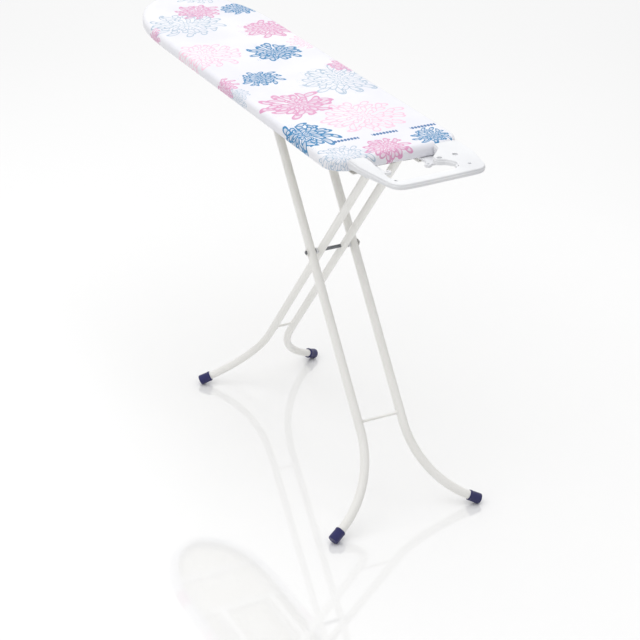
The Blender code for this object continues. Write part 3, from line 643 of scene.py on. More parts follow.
@dataclass
class BoardOutline:
    """The board's edge in plan: straight sides, a blunt nose and rounded heel corners."""

    nose_x: float
    heel_x: float
    width: float
    nose_length: float = 0.360
    nose_power: float = 3.0
    nose_rounding: float = 1.8
    heel_radius: float = 0.045
    tip_crowding: float = 0.9
    intervals: int = 250
    arc_points: int = 400

    def half_width(self, x: Array) -> Array:
        """Half the width at x: w (1 - t^p)^(1/q), with t from 0 where the nose starts to 1 at its tip."""
        along = np.clip((self.nose_x + self.nose_length - x) / self.nose_length, 0.0, 1.0)
        return self.width / 2 * (1 - along ** self.nose_power) ** (1 / self.nose_rounding)

    def loop(self) -> Array:
        """Evenly spaced points round the edge, anticlockwise from the nose tip along the near side."""
        turn = np.linspace(0, math.pi / 2, self.arc_points)
        nose_x = self.nose_x + self.nose_length - self.nose_length * np.cos(turn) ** self.tip_crowding
        nose = np.stack([nose_x, -self.half_width(nose_x)], axis=1)
        nose[0, 1] = 0.0
        corner = np.stack([self.heel_x - self.heel_radius * (1 - np.sin(turn)),
                           -self.width / 2 + self.heel_radius * (1 - np.cos(turn))], axis=1)
        half = np.concatenate([nose, corner, [[self.heel_x, 0.0]]])
        run = run_along(half)
        even = np.linspace(0, run[-1], self.intervals + 1)
        half = np.stack([np.interp(even, run, half[:, 0]), np.interp(even, run, half[:, 1])], axis=1)
        return np.concatenate([half, half[-2:0:-1] * (1, -1)])

    def outward(self, loop: Array) -> Array:
        """Unit normals of the loop, pointing out of the board."""
        along = np.roll(loop, -1, axis=0) - np.roll(loop, 1, axis=0)
        return unit(np.stack([along[:, 1], -along[:, 0]], axis=1))

    def inner_rows(self, loop: Array, edge_row: Array, count: int) -> Array:
        """Rows that slide in equal steps from an edge row to the middle line, where the halves meet.

        Args:
            loop: The board's edge.
            edge_row: The loop moved in, one point for each point of the edge.
            count: Number of rows.

        Returns:
            Array of count by points by 2.
        """
        margin = self.width / 2
        x = np.clip(loop[:, 0], self.nose_x + margin, self.heel_x - margin)
        middle = np.stack([x, np.zeros(len(x))], axis=1)
        share = np.linspace(0, 1, count + 1)[1:, None, None]
        return edge_row[None] * (1 - share) + middle[None] * share


@dataclass
class Cover:
    """The printed cover: a taut skin with a soft edge, small gathers and a rolled hem."""

    outline: BoardOutline
    top: float
    depth: float = 0.0265
    edge: float = 0.0115
    low_edge: float = 0.0055
    tuck: float = 0.0240
    hem: float = 0.0026
    skin: float = 0.0009
    crown: float = 0.0007
    softness: float = 0.00025
    gather: float = 0.0011
    gather_pitch: float = 0.017
    drift_pitch: float = 0.151
    swell_pitch: float = 0.37
    under_from: float = 0.008
    rows_inside: int = 15
    flowers: dict[str, list[Flower]] = field(default_factory=dict)

    def section(self) -> Shape:
        """Rows of (inset, height) from the hem to the top's edge, and where gathers act from 0 to 1."""
        bottom = self.top - self.depth
        rows = fillet((self.tuck, bottom - self.hem), self.hem, -120, 90, 8)
        rows += [(self.tuck - 0.005, bottom), (self.low_edge + 0.006, bottom)]
        rows += fillet((self.low_edge, bottom + self.low_edge), self.low_edge, 270, 180, 5)
        rows += [(0.0, bottom + 0.008), (0.0, self.top - self.edge - 0.003)]
        rows += fillet((self.edge, self.top - self.edge), self.edge, 180, 90, 9)
        shape = np.array(rows + [(inset, self.top) for inset in (0.018, 0.025, 0.032)])
        act = np.clip((self.top - self.edge - 0.0005 - shape[:, 1]) / (self.depth - 0.016), 0.0, 1.0)
        return shape, act

    def gathers(self, run: Array, normal: Array) -> Array:
        """Height of the gathers along the edge.

        A sine whose phase drifts and whose height swells over two longer waves. It is full at the
        nose and the heel, where the cloth turns, and a quarter as high along the straight sides.
        """
        turn = math.tau * run
        waves = np.sin(turn / self.gather_pitch + 2.2 * np.sin(turn / self.drift_pitch))
        waves = waves * (0.65 + 0.35 * np.sin(turn / self.swell_pitch + 1.0))
        return waves * (np.abs(normal[:, 0]) * 0.75 + 0.25) * self.gather

    def surface(self) -> Shape:
        """Points of the skin and the flat cloth point of each, row by row.

        A row of the edge is the outline moved in by its inset, with the gathers added outwards on
        the side and downwards under it. Inner rows slide to the middle line. The top is crowned by
        1 - (y / half width)^2 and has slow, faint waves. The cloth point of an edge row lies as far
        outside the top's first row as the section runs between them.
        """
        loop = self.outline.loop()
        normal = self.outline.outward(loop)
        shape, act = self.section()
        under = shape[:, :1] >= self.under_from
        ripple = act[:, None] * self.gathers(run_along(loop), normal)[None, :]
        inset = shape[:, :1] - ripple * ~under
        height = np.repeat(shape[:, 1:], len(loop), axis=1) + ripple * under * 0.8
        plan = loop[None, :, :] - normal[None, :, :] * inset[:, :, None]
        run = run_along(shape)
        cloth = loop[None, :, :] - normal[None, :, :] * (self.edge + (run - run[-4]))[:, None, None]
        inner = self.outline.inner_rows(loop, plan[-1], self.rows_inside)
        plan = np.concatenate([plan, inner])
        cloth = np.concatenate([cloth, inner])
        height = np.concatenate([height, np.full(inner.shape[:2], self.top)])
        x, y = plan[:, :, 0], plan[:, :, 1]
        crown = self.crown * (1 - (y / (self.outline.width / 2)) ** 2)
        soft = self.softness * np.sin(x * 31 + 2 * np.sin(y * 23)) * np.cos(y * 37)
        lift = np.clip((height - self.top + 0.004) / 0.004, 0, 1)
        return np.concatenate([plan, (height + lift * (crown + soft))[:, :, None]], axis=2), cloth

    def dress(self, piece: Piece, cloth: Array) -> None:
        """Write the cloth UV map and each layer's flower coordinates and ink on the face corners."""
        mesh = piece.data
        corner = np.empty(len(mesh.loops), dtype=np.int32)
        mesh.loops.foreach_get("vertex_index", corner)
        flat = cloth.reshape(-1, 2)[corner]
        mesh.uv_layers.new(name="cloth").data.foreach_set("uv", flat.astype(np.float32).ravel())
        centre = flat.reshape(-1, 4, 2).mean(axis=1)
        for layer, flowers in self.flowers.items():
            facts = np.array([(f.x, f.y, f.radius, f.turn, f.seed) for f in flowers])
            inks = np.array([rgba(*f.ink.value) for f in flowers])
            gap = np.linalg.norm(centre[:, None, :] - facts[None, :, :2], axis=2) / facts[None, :, 2]
            owner = np.repeat(gap.argmin(axis=1), 4)
            fact = facts[owner]
            away = (flat - fact[:, :2]) / fact[:, 2:3]
            cos, sin = np.cos(fact[:, 3]), np.sin(fact[:, 3])
            local = np.stack([away[:, 0] * cos + away[:, 1] * sin, away[:, 1] * cos - away[:, 0] * sin,
                              fact[:, 4]], axis=1)
            place = mesh.attributes.new(layer + "_place", "FLOAT_VECTOR", "CORNER")
            place.data.foreach_set("vector", local.astype(np.float32).ravel())
            ink = mesh.attributes.new(layer + "_ink", "FLOAT_COLOR", "CORNER")
            ink.data.foreach_set("color", inks[owner].astype(np.float32).ravel())

    def close_middle(self, piece: Piece, rows: int, columns: int) -> None:
        """Merge the two halves along the middle line and turn the skin's face up."""
        bm = bmesh.new()
        bm.from_mesh(piece.data)
        bm.verts.ensure_lookup_table()
        last = [bm.verts[i] for i in range((rows - 1) * columns, rows * columns)]
        bmesh.ops.remove_doubles(bm, verts=last, dist=WELD)
        bm.faces.ensure_lookup_table()
        if bm.faces[len(bm.faces) - 1].normal.z < 0:
            bmesh.ops.reverse_faces(bm, faces=bm.faces)
        bm.to_mesh(piece.data)
        bm.free()

    def build(self, finish: Material) -> Piece:
        """Make the cover as a thin skin with two faces."""
        points, cloth = self.surface()
        rows, columns = points.shape[:2]
        piece = mesh_object("cover", points.reshape(-1, 3), grid_faces(rows, columns, True), finish, 80.0)
        self.dress(piece, cloth)
        self.close_middle(piece, rows, columns)
        wall = piece.modifiers.new("skin", "SOLIDIFY")
        wall.thickness = self.skin
        wall.offset = -1.0
        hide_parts("fabric_cover")
        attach(piece, "board")
        return piece


PRINT = {
    layer: [Flower(*flower, seed) for seed, flower in enumerate(flowers, 1)] for layer, flowers in {
        "pale": (
            (-0.435, -0.060, 0.100, Ink.MIST, 0.3), (-0.200, -0.110, 0.098, Ink.BLUSH, 0.9),
            (0.085, 0.092, 0.106, Ink.MIST, 1.7), (0.316, 0.030, 0.104, Ink.BLUSH, 2.2),
            (0.500, -0.112, 0.066, Ink.MIST, 0.2), (-0.190, 0.150, 0.058, Ink.BLUSH, 0.2),
            (0.070, -0.170, 0.050, Ink.MIST, 0.2), (-0.640, 0.060, 0.070, Ink.MIST, 0.4),
        ),
        "strong": (
            (-0.520, 0.006, 0.064, Ink.PINK, 0.4), (-0.500, 0.110, 0.057, Ink.BLUE, 1.1),
            (-0.322, 0.104, 0.080, Ink.PINK, 2.1), (-0.150, 0.042, 0.075, Ink.BLUE, 0.7),
            (0.002, -0.064, 0.057, Ink.BLUE, 1.4), (0.000, -0.165, 0.052, Ink.PINK, 2.6),
            (0.000, 0.152, 0.057, Ink.PINK, 0.1), (0.192, -0.064, 0.091, Ink.PINK, 0.9),
            (0.358, -0.134, 0.082, Ink.BLUE, 2.9), (0.490, -0.012, 0.057, Ink.PINK, 1.9),
            (0.476, 0.100, 0.048, Ink.BLUE, 0.5), (-0.420, -0.172, 0.046, Ink.PINK, 0.5),
        ),
    }.items()
}


@dataclass
class FoamPad:
    """The foam sheet under the cover, with a soft upper edge."""

    outline: BoardOutline
    low: float
    high: float
    inset: float
    roundness: float = 0.8
    rows_inside: int = 10

    def build(self, finish: Material) -> Piece:
        """Make the sheet: under side, rounded edge and upper side, each closed on the middle line."""
        loop = self.outline.loop()
        normal = self.outline.outward(loop)
        soft = (self.high - self.low) * self.roundness
        edge = fillet((self.inset + soft, self.high - soft), soft, 180, 90, 5)
        rows = np.array([(0.03, self.low), (0.02, self.low), (self.inset, self.low)] + edge
                        + [(0.02, self.high), (0.03, self.high)])
        plan = loop[None] - normal[None] * rows[:, :1, None]
        inner = self.outline.inner_rows(loop, plan[-1], self.rows_inside)
        flat = np.ones(inner.shape[:2])
        edges = np.repeat(rows[:, 1:], len(loop), axis=1)
        height = np.concatenate([flat * self.low, edges, flat * self.high])
        points = np.concatenate([np.concatenate([inner[::-1], plan, inner]), height[:, :, None]], axis=2)
        shape = (points.reshape(-1, 3), grid_faces(len(points), len(loop), True))
        piece = solid("foam", shape, finish, "foam_pad", "board")
        return piece


@dataclass
class MeshPanel:
    """Expanded steel mesh: zigzag strands that meet in diamonds, cut to the board's outline."""

    outline: BoardOutline
    low: float
    high: float
    inset: float = 0.0036
    long_way: float = 0.0190
    short_way: float = 0.0085
    strand: float = 0.0012
    overlap: float = 0.3

    def segments(self) -> Shape:
        """Both ends of every straight strand.

        Knuckles stand in columns half a diamond apart. Each row has two zigzags: one goes up by
        half a diamond at odd columns, and the other comes down to meet it there.
        """
        across = self.outline.width / 2
        columns = np.arange(self.outline.nose_x, self.outline.heel_x, self.long_way / 2)
        rows = np.arange(-across, across, self.short_way)
        column, row = np.meshgrid(np.arange(len(columns)), rows, indexing="ij")
        swing = column % 2 * self.short_way / 2
        risen, fallen = row + swing, row + self.short_way - swing
        zigzags = [np.stack([columns[column], y], axis=-1) for y in (risen, fallen)]
        first = np.concatenate([zigzag[:-1].reshape(-1, 2) for zigzag in zigzags])
        second = np.concatenate([zigzag[1:].reshape(-1, 2) for zigzag in zigzags])
        limit = self.outline.half_width(first[:, 0]) - self.inset
        keep = (np.abs(first[:, 1]) < limit) & (np.abs(second[:, 1]) < limit)
        keep &= first[:, 0] > self.outline.nose_x + self.inset
        keep &= second[:, 0] < self.outline.heel_x - self.inset
        return first[keep], second[keep]

    def build(self, finish: Material) -> Piece:
        """Make every strand a flat bar of eight corners, all in one piece."""
        first, second = self.segments()
        along = unit(second - first)
        side = np.stack([-along[:, 1], along[:, 0]], axis=1) * self.strand / 2
        reach = along * self.strand * self.overlap
        flat = np.stack([first - reach + side, first - reach - side, second + reach - side,
                         second + reach + side], axis=1)
        levels = [np.full((*flat.shape[:2], 1), level) for level in (self.low, self.high)]
        points = np.concatenate([np.concatenate([flat, level], axis=2) for level in levels], axis=1)
        box = np.array([(3, 2, 1, 0), (4, 5, 6, 7), (1, 5, 4, 0), (2, 6, 5, 1), (3, 7, 6, 2), (0, 4, 7, 3)])
        faces = box[None] + len(flat[0]) * 2 * np.arange(len(first))[:, None, None]
        piece = mesh_object("steel_mesh", points.reshape(-1, 3), faces.reshape(-1, 4), finish)
        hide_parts("mesh_panel")
        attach(piece, "board")
        return piece


# ---------------------------------------------------------------- the iron rest


def rounded_outline(corners: list[Triple], steps: int = 12) -> Array:
    """Outline through corners (x, y, radius), each rounded by a quadratic curve that fits its radius."""
    outline: list[Array] = []
    places = np.array([corner[:2] for corner in corners])
    for i, (x, y, radius) in enumerate(corners):
        here = np.array((x, y))
        back = unit(places[i - 1] - here)
        ahead = unit(places[(i + 1) % len(places)] - here)
        if radius == 0:
            outline.append(here[None])
            continue
        run = radius / math.tan(math.acos(float(np.clip(back @ ahead, -1, 1))) / 2)
        share = np.linspace(0, 1, steps + 1)[:, None]
        outline.append((here + back * run) * (1 - share) ** 2 + here * 2 * share * (1 - share)
                       + (here + ahead * run) * share ** 2)
    return np.concatenate(outline)


def inset_outline(loop: Array, distance: float, least_cosine: float = 0.6) -> Array:
    """Move an anticlockwise loop inwards along its corner normals, held back at sharp corners."""
    before = unit(loop - np.roll(loop, 1, axis=0))
    after = unit(np.roll(loop, -1, axis=0) - loop)
    mean = unit(before + after)
    stretch = 1 / np.maximum((mean * before).sum(axis=1, keepdims=True), least_cosine)
    return loop + np.stack([-mean[:, 1], mean[:, 0]], axis=1) * distance * stretch


def circle(x: float, y: float, radius: float, steps: int = 28) -> Array:
    """Clockwise circle, for a hole."""
    turn = -np.linspace(0, math.tau, steps, endpoint=False)
    return np.stack([x + radius * np.cos(turn), y + radius * np.sin(turn)], axis=1)


def moulded_plate(name: str, outer: Array, holes: list[Array], section: Profile, finish: Material) -> Piece:
    """Make a moulded plate from its outline, holes and edge section.

    Each wall is its loop moved in by the section's insets at the section's heights, from the
    bottom up; in a hole the insets are limited. The two flat sides are filled between end loops.

    Args:
        name: The piece's name.
        outer: Anticlockwise outline.
        holes: Clockwise hole outlines.
        section: (inset, height) pairs from the bottom face to the top face.
        finish: Its material.

    Returns:
        The plate as an object.
    """
    bm = bmesh.new()
    rims: dict[int, list[bmesh.types.BMEdge]] = {0: [], len(section) - 1: []}
    for index, loop in enumerate([outer] + holes):
        rows = []
        for step, (inset, height) in enumerate(section):
            moved = inset_outline(loop, inset if index == 0 else min(inset, HOLE_EDGE))
            rows.append([bm.verts.new((x, y, height)) for x, y in moved])
            if step in rims:
                ring = rows[-1]
                rims[step] += [bm.edges.new((ring[i - 1], ring[i])) for i in range(len(ring))]
        for lower, upper in zip(rows, rows[1:]):
            for i in range(len(lower)):
                bm.faces.new((lower[i - 1], lower[i], upper[i], upper[i - 1]))
    for edges in rims.values():
        bmesh.ops.triangle_fill(bm, edges=edges, use_beauty=True)
    bmesh.ops.recalc_face_normals(bm, faces=bm.faces)
    if bm.calc_volume(signed=True) < 0:
        bmesh.ops.reverse_faces(bm, faces=bm.faces)
    mesh = bpy.data.meshes.new(name)
    bm.to_mesh(mesh)
    bm.free()
    return mesh_piece(name, mesh, finish, 35.0)


@dataclass(frozen=True)
class Tongue:
    """A tongue of the iron rest: its span across the board, its wall, its lug and its bores."""

    word: str
    span: tuple[float, float]
    wall: tuple[float, float]
    lug: float
    bores: tuple[float, float]


TONGUES = (Tongue("near", (-0.082, -0.046), (-0.092, -0.076), -0.042, (-0.0720, -0.0540)),
           Tongue("far", (0.052, 0.086), (0.080, 0.094), 0.050, (0.0600, 0.0780)))


@dataclass
class IronRest:
    """The moulded frame at the heel: arms, front bar, ledge, holes, lugs and tongues."""

    heel_x: float
    front: float
    top: float
    tongue_low: float
    tongue_high: float
    depth: float = 0.0120
    root_depth: float = 0.0080
    root_run: float = 0.1100
    front_depth: float = 0.0060
    gap: float = 0.0028
    ledge_drop: float = 0.0046
    ledge_step: float = 0.0013
    low_step: float = 0.0012
    low_round: float = 0.0018
    top_round: float = 0.0022
    tongue_back: float = 0.0185
    tongue_front: float = 0.0360
    bore_back: float = 0.0085
    lug_front: float = 0.0330

    def corners(self) -> list[Triple]:
        """Corners of the frame round its outside and back round its window."""
        root, heel, front = self.heel_x + self.gap, self.heel_x, self.front
        frame = [(root, -0.116, 0.003), (heel + 0.050, -0.115, 0.040), (front, -0.097, 0.034),
                 (front, -0.040, 0.300), (front - 0.008, 0.112, 0.034), (heel + 0.070, 0.131, 0.050),
                 (root, 0.131, 0.016)]
        window = [(root, -0.080, 0.0), (heel + 0.055, -0.080, 0.020), (heel + 0.120, -0.086, 0.020),
                  (front - 0.023, -0.078, 0.012), (front - 0.033, 0.052, 0.006),
                  (front - 0.059, 0.070, 0.012), (heel + 0.088, 0.056, 0.004), (heel + 0.080, 0.040, 0.008),
                  (heel + 0.062, 0.042, 0.008), (heel + 0.030, 0.073, 0.010), (root, 0.078, 0.0)]
        return frame + window[::-1]

    def build(self, finish: Material) -> Piece:
        """Make the frame, its two tongues with walls and lugs, and join them."""
        heel = self.heel_x
        holes = [circle(heel + 0.076, 0.050, 0.0050), circle(heel + 0.073, 0.087, 0.0055),
                 circle(heel + 0.128, 0.088, 0.0028), circle(heel + 0.127, 0.060, 0.0028),
                 circle(heel + 0.141, -0.083, 0.0028)]
        low, top = self.top - self.depth, self.top
        ledge = top - self.ledge_drop
        foot, head, step = self.low_round, self.top_round, self.ledge_step
        section = fillet((self.low_step + foot, low + foot), foot, 270, 180, 4)
        section += [(0.0, ledge - 0.0012), (0.0, ledge - 0.0004), (0.0004, ledge), (step, ledge + 0.0003)]
        section += fillet((step + head, top - head), head, 180, 90, 5)
        rest = moulded_plate("iron_rest_frame", rounded_outline(self.corners()), holes, section, finish)
        self.deepen(rest)
        parts = [rest] + self.tongues(finish)
        bm = bmesh.new()
        for part in parts:
            bm.from_mesh(part.data)
        bm.to_mesh(rest.data)
        bm.free()
        for part in parts[1:]:
            bpy.data.objects.remove(part)
        rest.data.set_sharp_from_angle(angle=math.radians(35))
        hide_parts("iron_rest")
        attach(rest, "board")
        return rest

    def deepen(self, rest: Piece) -> None:
        """Lower the under side towards the roots of the arms, in a straight slope."""
        count = len(rest.data.vertices)
        points = np.empty(count * 3, dtype=np.float32)
        rest.data.vertices.foreach_get("co", points)
        points = points.reshape(-1, 3)
        share = np.clip((self.top - self.front_depth - points[:, 2]) / (self.depth - self.front_depth), 0, 1)
        slope = np.clip(1 - (points[:, 0] - self.heel_x) / self.root_run, 0, 1)
        points[:, 2] -= share * slope * self.root_depth
        rest.data.vertices.foreach_set("co", points.ravel())
        rest.data.update()

    def tongues(self, finish: Material) -> list[Piece]:
        """Two flat tongues under the board, each with a wall up to its arm and a bored lug."""
        heel, made = self.heel_x, []
        back, front = heel - self.tongue_back, heel + self.tongue_front
        low, high = self.tongue_low, self.tongue_high
        edge = HOLE_EDGE
        arm = self.top - self.ledge_drop
        flat = [(edge, low), (0.0, low + edge), (0.0, high - edge), (edge, high)]
        tall = [(edge, low), (0.0, low + edge), (0.0, arm), (edge, arm + edge)]
        raised = [(0.0008, low - 0.001), (0.0, low - 0.0002), (0.0, high + 0.0002), (0.0008, high + 0.001)]
        for part in TONGUES:
            (inner, outer), (wall_low, wall_high) = part.span, part.wall
            plate = rounded_outline([(back, inner, 0.004), (front, inner, 0.003), (front, outer, 0.003),
                                     (back, outer, 0.004)], 5)
            bores = [circle(heel - self.bore_back, y, 0.0024, 20) for y in part.bores]
            web = rounded_outline([(heel + self.gap, wall_low, 0.002), (front, wall_low, 0.002),
                                   (front, wall_high, 0.002), (heel + self.gap, wall_high, 0.002)], 4)
            lug = circle(heel + self.lug_front, part.lug, 0.0075, 40)[::-1]
            eye = circle(heel + self.lug_front, part.lug, 0.0026, 24)
            made += [moulded_plate(part.word + "_tongue", plate, bores, flat, finish),
                     moulded_plate(part.word + "_web", web, [], tall, finish),
                     moulded_plate(part.word + "_lug", lug, [eye], raised, finish)]
        return made


# ---------------------------------------------------------------- legs and hardware


@dataclass
class Leg:
    """One pair of bent tubes with their foot caps and crossbar."""

    name: str
    body: str
    top: Array
    pivot: Array
    spread: float
    radius: float
    crossbar: float
    bend_radius: float = 0.235
    bend_angle: float = math.radians(57.0)
    straight: float = 0.025
    overrun: float = 0.010
    cap_radius: float = 0.0122
    cap_length: float = 0.0290
    cap_floor: float = 0.0030
    cap_edge: float = 0.0030
    sole_cut: float = 0.0008
    play: float = 0.0003
    weld: float = 0.0012

    @property
    def down(self) -> Array:
        """Unit direction from the top through the pivot."""
        return unit(self.pivot - self.top)

    def foot_axis(self, side: float) -> Array:
        """Direction of the tube's end."""
        return self.down * math.cos(self.bend_angle) + np.array((0, side * math.sin(self.bend_angle), 0))

    def foot_end(self, side: float) -> Array:
        """Centre of the cap's outer end, with its sole on the floor."""
        fall = -self.foot_axis(side)[2]
        height = (self.cap_radius - self.cap_edge) * math.sqrt(1 - fall * fall) + self.cap_edge
        height -= self.cap_edge * fall + self.sole_cut
        tail = self.straight + self.cap_floor + self.play
        out = self.bend_radius * (1 - math.cos(self.bend_angle)) + tail * math.sin(self.bend_angle)
        run = (self.pivot[2] - height) / -self.down[2]
        return self.pivot + self.down * run + np.array((0, side * (self.spread + out), 0))

    def path(self, side: float) -> Array:
        """Centre line: straight, then the arc start + R sin a down + R (1 - cos a) out, then straight."""
        axis, out, bend = self.foot_axis(side), ALONG_Y * side, self.bend_radius
        end = self.foot_end(side) - axis * (self.cap_floor + self.play)
        turn = np.linspace(0, self.bend_angle, 40)[:, None]
        arc = self.down * bend * np.sin(turn) + out * bend * (1 - np.cos(turn))
        arc = arc + (end - axis * self.straight - arc[-1])
        top = self.top - self.down * self.overrun + out * self.spread
        share = np.linspace(0, 1, 24)[:-1, None]
        leg = top * (1 - share) + arc[0] * share
        return np.concatenate([leg, arc, (arc[-1:] + end) / 2, end[None]])

    def tube(self, word: str, side: float, finish: Material) -> None:
        """Smooth tube with a rounded upper end; its lower end is inside the cap.

        The first and last points lie a hair beyond the ends and have no radius, which closes them.
        """
        path = self.path(side)
        lead = np.array([0.0, 0.0012, 0.0030])
        ends = path[0] + unit(path[1] - path[0]) * lead[:, None]
        beyond = path[-1] + (path[-1] - path[-2]) * 1e-3
        path = np.concatenate([path[:1] - self.down * WELD, ends, path[1:], beyond[None]])
        radii = np.full(len(path), self.radius)
        radii[:4] = self.radius * np.array([0.0, 0.80, 0.95, 1.0])
        radii[-1] = 0.0
        shape = swept_tube(path, radii, (0.3, 0.0, 1.0), 40)
        solid(f"{self.name}_leg_{word}", shape, finish, f"{self.name}_tube_{word}", self.body)

    def cap(self, word: str, side: float, finish: Material) -> None:
        """Foot cap: rounded end, slight taper and a bead at its mouth; its sole is pressed flat."""
        radius, edge, length, bead = self.cap_radius, self.cap_edge, self.cap_length, 0.0012
        mouth = self.radius + 0.0001
        profile = [(0.0, 0.0)] + fillet((radius - edge, edge), edge, -90, 0, 7)
        profile += [(radius - 0.0002, length * 0.5), (radius - 0.0004, length - 0.0052)]
        profile += [(radius, length - 0.0046)]
        profile += fillet((radius - bead, length - bead), bead, 0, 90, 4)
        profile += [(mouth, length), (mouth, length - 0.004), (0.0, length - 0.004)]
        points, faces = turned(profile, self.foot_end(side), -self.foot_axis(side), 64)
        points[:, 2] = np.maximum(points[:, 2], 0.0)
        solid(f"{self.name}_foot_cap_{word}", (points, faces), finish, f"{self.name}_foot_{word}", self.body)

    def bar(self, finish: Material) -> None:
        """Crossbar with a weld fillet where it meets each tube."""
        reach = self.spread - self.radius + self.weld
        origin = self.pivot + self.down * self.crossbar - ALONG_Y * reach
        flare = [(0.0062, 0.0), (0.0055, 0.0012), (0.0042, 0.0022), (0.0034, 0.0034), (0.0030, 0.0048)]
        profile = [(0.0, 0.0)] + flare + [(r, 2 * reach - h) for r, h in reversed(flare)] + [(0.0, 2 * reach)]
        shape = turned(profile, origin, ALONG_Y, 32)
        solid(f"{self.name}_cross_rod", shape, finish, f"{self.name}_crossbar", self.body)

    def build(self, palette: Palette) -> None:
        """Make every piece of the pair."""
        for word, side in SIDES.items():
            self.tube(word, side, palette.enamel)
            self.cap(word, side, palette.navy)
        self.bar(palette.enamel)


@dataclass
class Hardware:
    """Rods, sleeves, washers, screws and the release lever's wire parts."""

    palette: Palette
    sleeve_bore: float = 0.0043
    clip_bore: float = 0.0033
    lever_radius: float = 0.0030
    lever_bend: float = 0.012
    lever_out: float = 0.108
    handle: Triple = (0.095, 0.0, -0.012)
    grip_length: float = 0.055
    grip_radius: float = 0.0058
    rib_pitch: float = 0.0045
    spring_turns: float = 5.0
    spring_radius: float = 0.0050
    spring_wire: float = 0.0007

    def turned_node(self, node: str, body: str, finish: Material, edge: float,
                    bore: float | None = None) -> None:
        """Replace a round node whose axis lies along Y by a finely turned one of the same size.

        Args:
            node: CAD node.
            body: Body that it rides on.
            finish: Material.
            edge: Rounding of its edges.
            bore: Bore radius of a sleeve; None makes a solid rod.
        """
        low, high = corners_of(node)
        radius, length = (high[0] - low[0]) / 2, high[1] - low[1]
        origin = np.array(((low[0] + high[0]) / 2, low[1], (low[2] + high[2]) / 2))
        rod = bore is None
        profile = rounded_rod(radius, length, edge) if rod else rounded_ring(bore, radius, length, edge)
        solid("turned_" + node, turned(profile, origin, ALONG_Y, 48), finish, node, body)

    def runner(self, word: str, side: float) -> None:
        """Slider runner: a hub in the rail's slot with a round lip inside the rail."""
        node = "slider_runner_" + word
        low, high = corners_of(node)
        centre = (low + high) / 2
        length = high[1] - low[1]
        origin = np.array((centre[0], low[1] if side > 0 else high[1], centre[2]))
        bore, hub, lip, lip_edge, hub_edge = 0.0053, 0.0065, 0.0095, 0.0006, 0.0004
        profile = [(bore, 0.0)] + fillet((lip - lip_edge, lip_edge), lip_edge, -90, 0, 3)
        profile += [(lip, 0.0022), (lip - hub_edge, 0.0025), (hub, 0.0025)]
        profile += fillet((hub - hub_edge, length - hub_edge), hub_edge, 0, 90, 3)
        profile += [(bore, length), (bore, 0.0)]
        shape = turned(profile, origin, ALONG_Y * side, 48)
        solid("runner_" + word, shape, self.palette.nylon, node, "outer_legs")

    def screw(self, number: int) -> None:
        """Pan-head screw with a dished middle and a thread of fine steps."""
        node = f"rest_screw_{number}"
        low, high = corners_of(node)
        length, shank, step = high[2] - low[2], 0.0020, 0.0003
        profile = [(0.0, 0.0007), (0.0007, 0.0007), (0.0012, 0.0)]
        profile += fillet((0.0030, 0.0012), 0.0012, -80, 0, 5) + [(0.0042, 0.0024), (shank, 0.0024)]
        turns = np.arange(0.0028, length - 0.001, 0.0006)
        profile += [(shank - step * (i % 2), float(h)) for i, h in enumerate(turns)] + [(0.0, length)]
        origin = np.array(((low[0] + high[0]) / 2, (low[1] + high[1]) / 2, low[2]))
        shape = turned(profile, origin, np.array((0.0, 0.0, 1.0)), 32)
        solid(f"pan_screw_{number}", shape, self.palette.zinc, node, "board")

    def lever(self, hinge: Array) -> None:
        """Release lever: a bent rod with rounded ends, and its ribbed grip."""
        _, high = corners_of("lever_rod")
        corner = hinge - ALONG_Y * self.lever_out
        tip = corner + np.array(self.handle)
        turn = np.linspace(0, math.pi / 2, 14)[:, None]
        bend = np.concatenate([1 - np.cos(turn), 1 - np.sin(turn), 0 * turn], axis=1)
        arc = corner + self.lever_bend * bend
        share = np.linspace(0, 1, 12)[:, None]
        start = np.array((hinge[0], high[1], hinge[2]))
        straight = start * (1 - share[:-1]) + arc[0] * share[:-1]
        handle = arc[-1] * (1 - share[1:]) + tip * share[1:]
        path = np.concatenate([start[None] + (0, WELD, 0), straight, arc, handle, tip[None] + (WELD, 0, 0)])
        radii = np.full(len(path), self.lever_radius)
        radii[[0, -1]] = 0.0
        shape = swept_tube(path, radii, (0.0, 0.0, 1.0), 28)
        solid("lever_bent_rod", shape, self.palette.zinc, "lever_rod", "release_lever")
        axis = unit(tip - arc[-1])
        length, edge = self.grip_length, 0.0030
        ribs = np.linspace(0.003, length - 0.006, 90)
        wave = self.grip_radius + 0.0002 * np.sign(np.sin(ribs * math.tau / self.rib_pitch))
        profile = [(0.0, 0.0004), (0.0034, 0.0), (0.0052, 0.0)] + list(zip(wave, ribs))
        profile += fillet((self.grip_radius - 0.0028, length - edge), edge, 0, 90, 6) + [(0.0, length)]
        shape = turned(profile, tip - axis * (length - 0.004), axis, 40)
        solid("lever_ribbed_grip", shape, self.palette.navy, "lever_grip", "release_lever")

    def spring(self, hinge: Array) -> None:
        """Torsion spring: a helix round the lever rod with a straight arm at each end."""
        low, high = corners_of("lever_spring")
        wire = self.spring_wire
        share = np.linspace(0, 1, 160)
        turn = share * self.spring_turns * math.tau
        start, end = low[1] + wire, high[1] - wire
        helix = np.stack([hinge[0] + self.spring_radius * np.cos(turn), start + (end - start) * share,
                          hinge[2] + self.spring_radius * np.sin(turn)], axis=1)
        down = helix[0] - np.linspace(0.012, 0.0003, 8)[:, None] * (0.0, 0.0, 1.0)
        up = helix[-1] + np.linspace(0.0003, 0.010, 8)[:, None] * (0.0, 0.0, 1.0)
        path = np.concatenate([down, helix, up])
        radii = np.full(len(path), wire)
        radii[[0, -1]] = 0.0
        shape = swept_tube(path, radii, (0.02, 1.0, 0.0), 10)
        solid("torsion_spring", shape, self.palette.zinc, "lever_spring", "board")

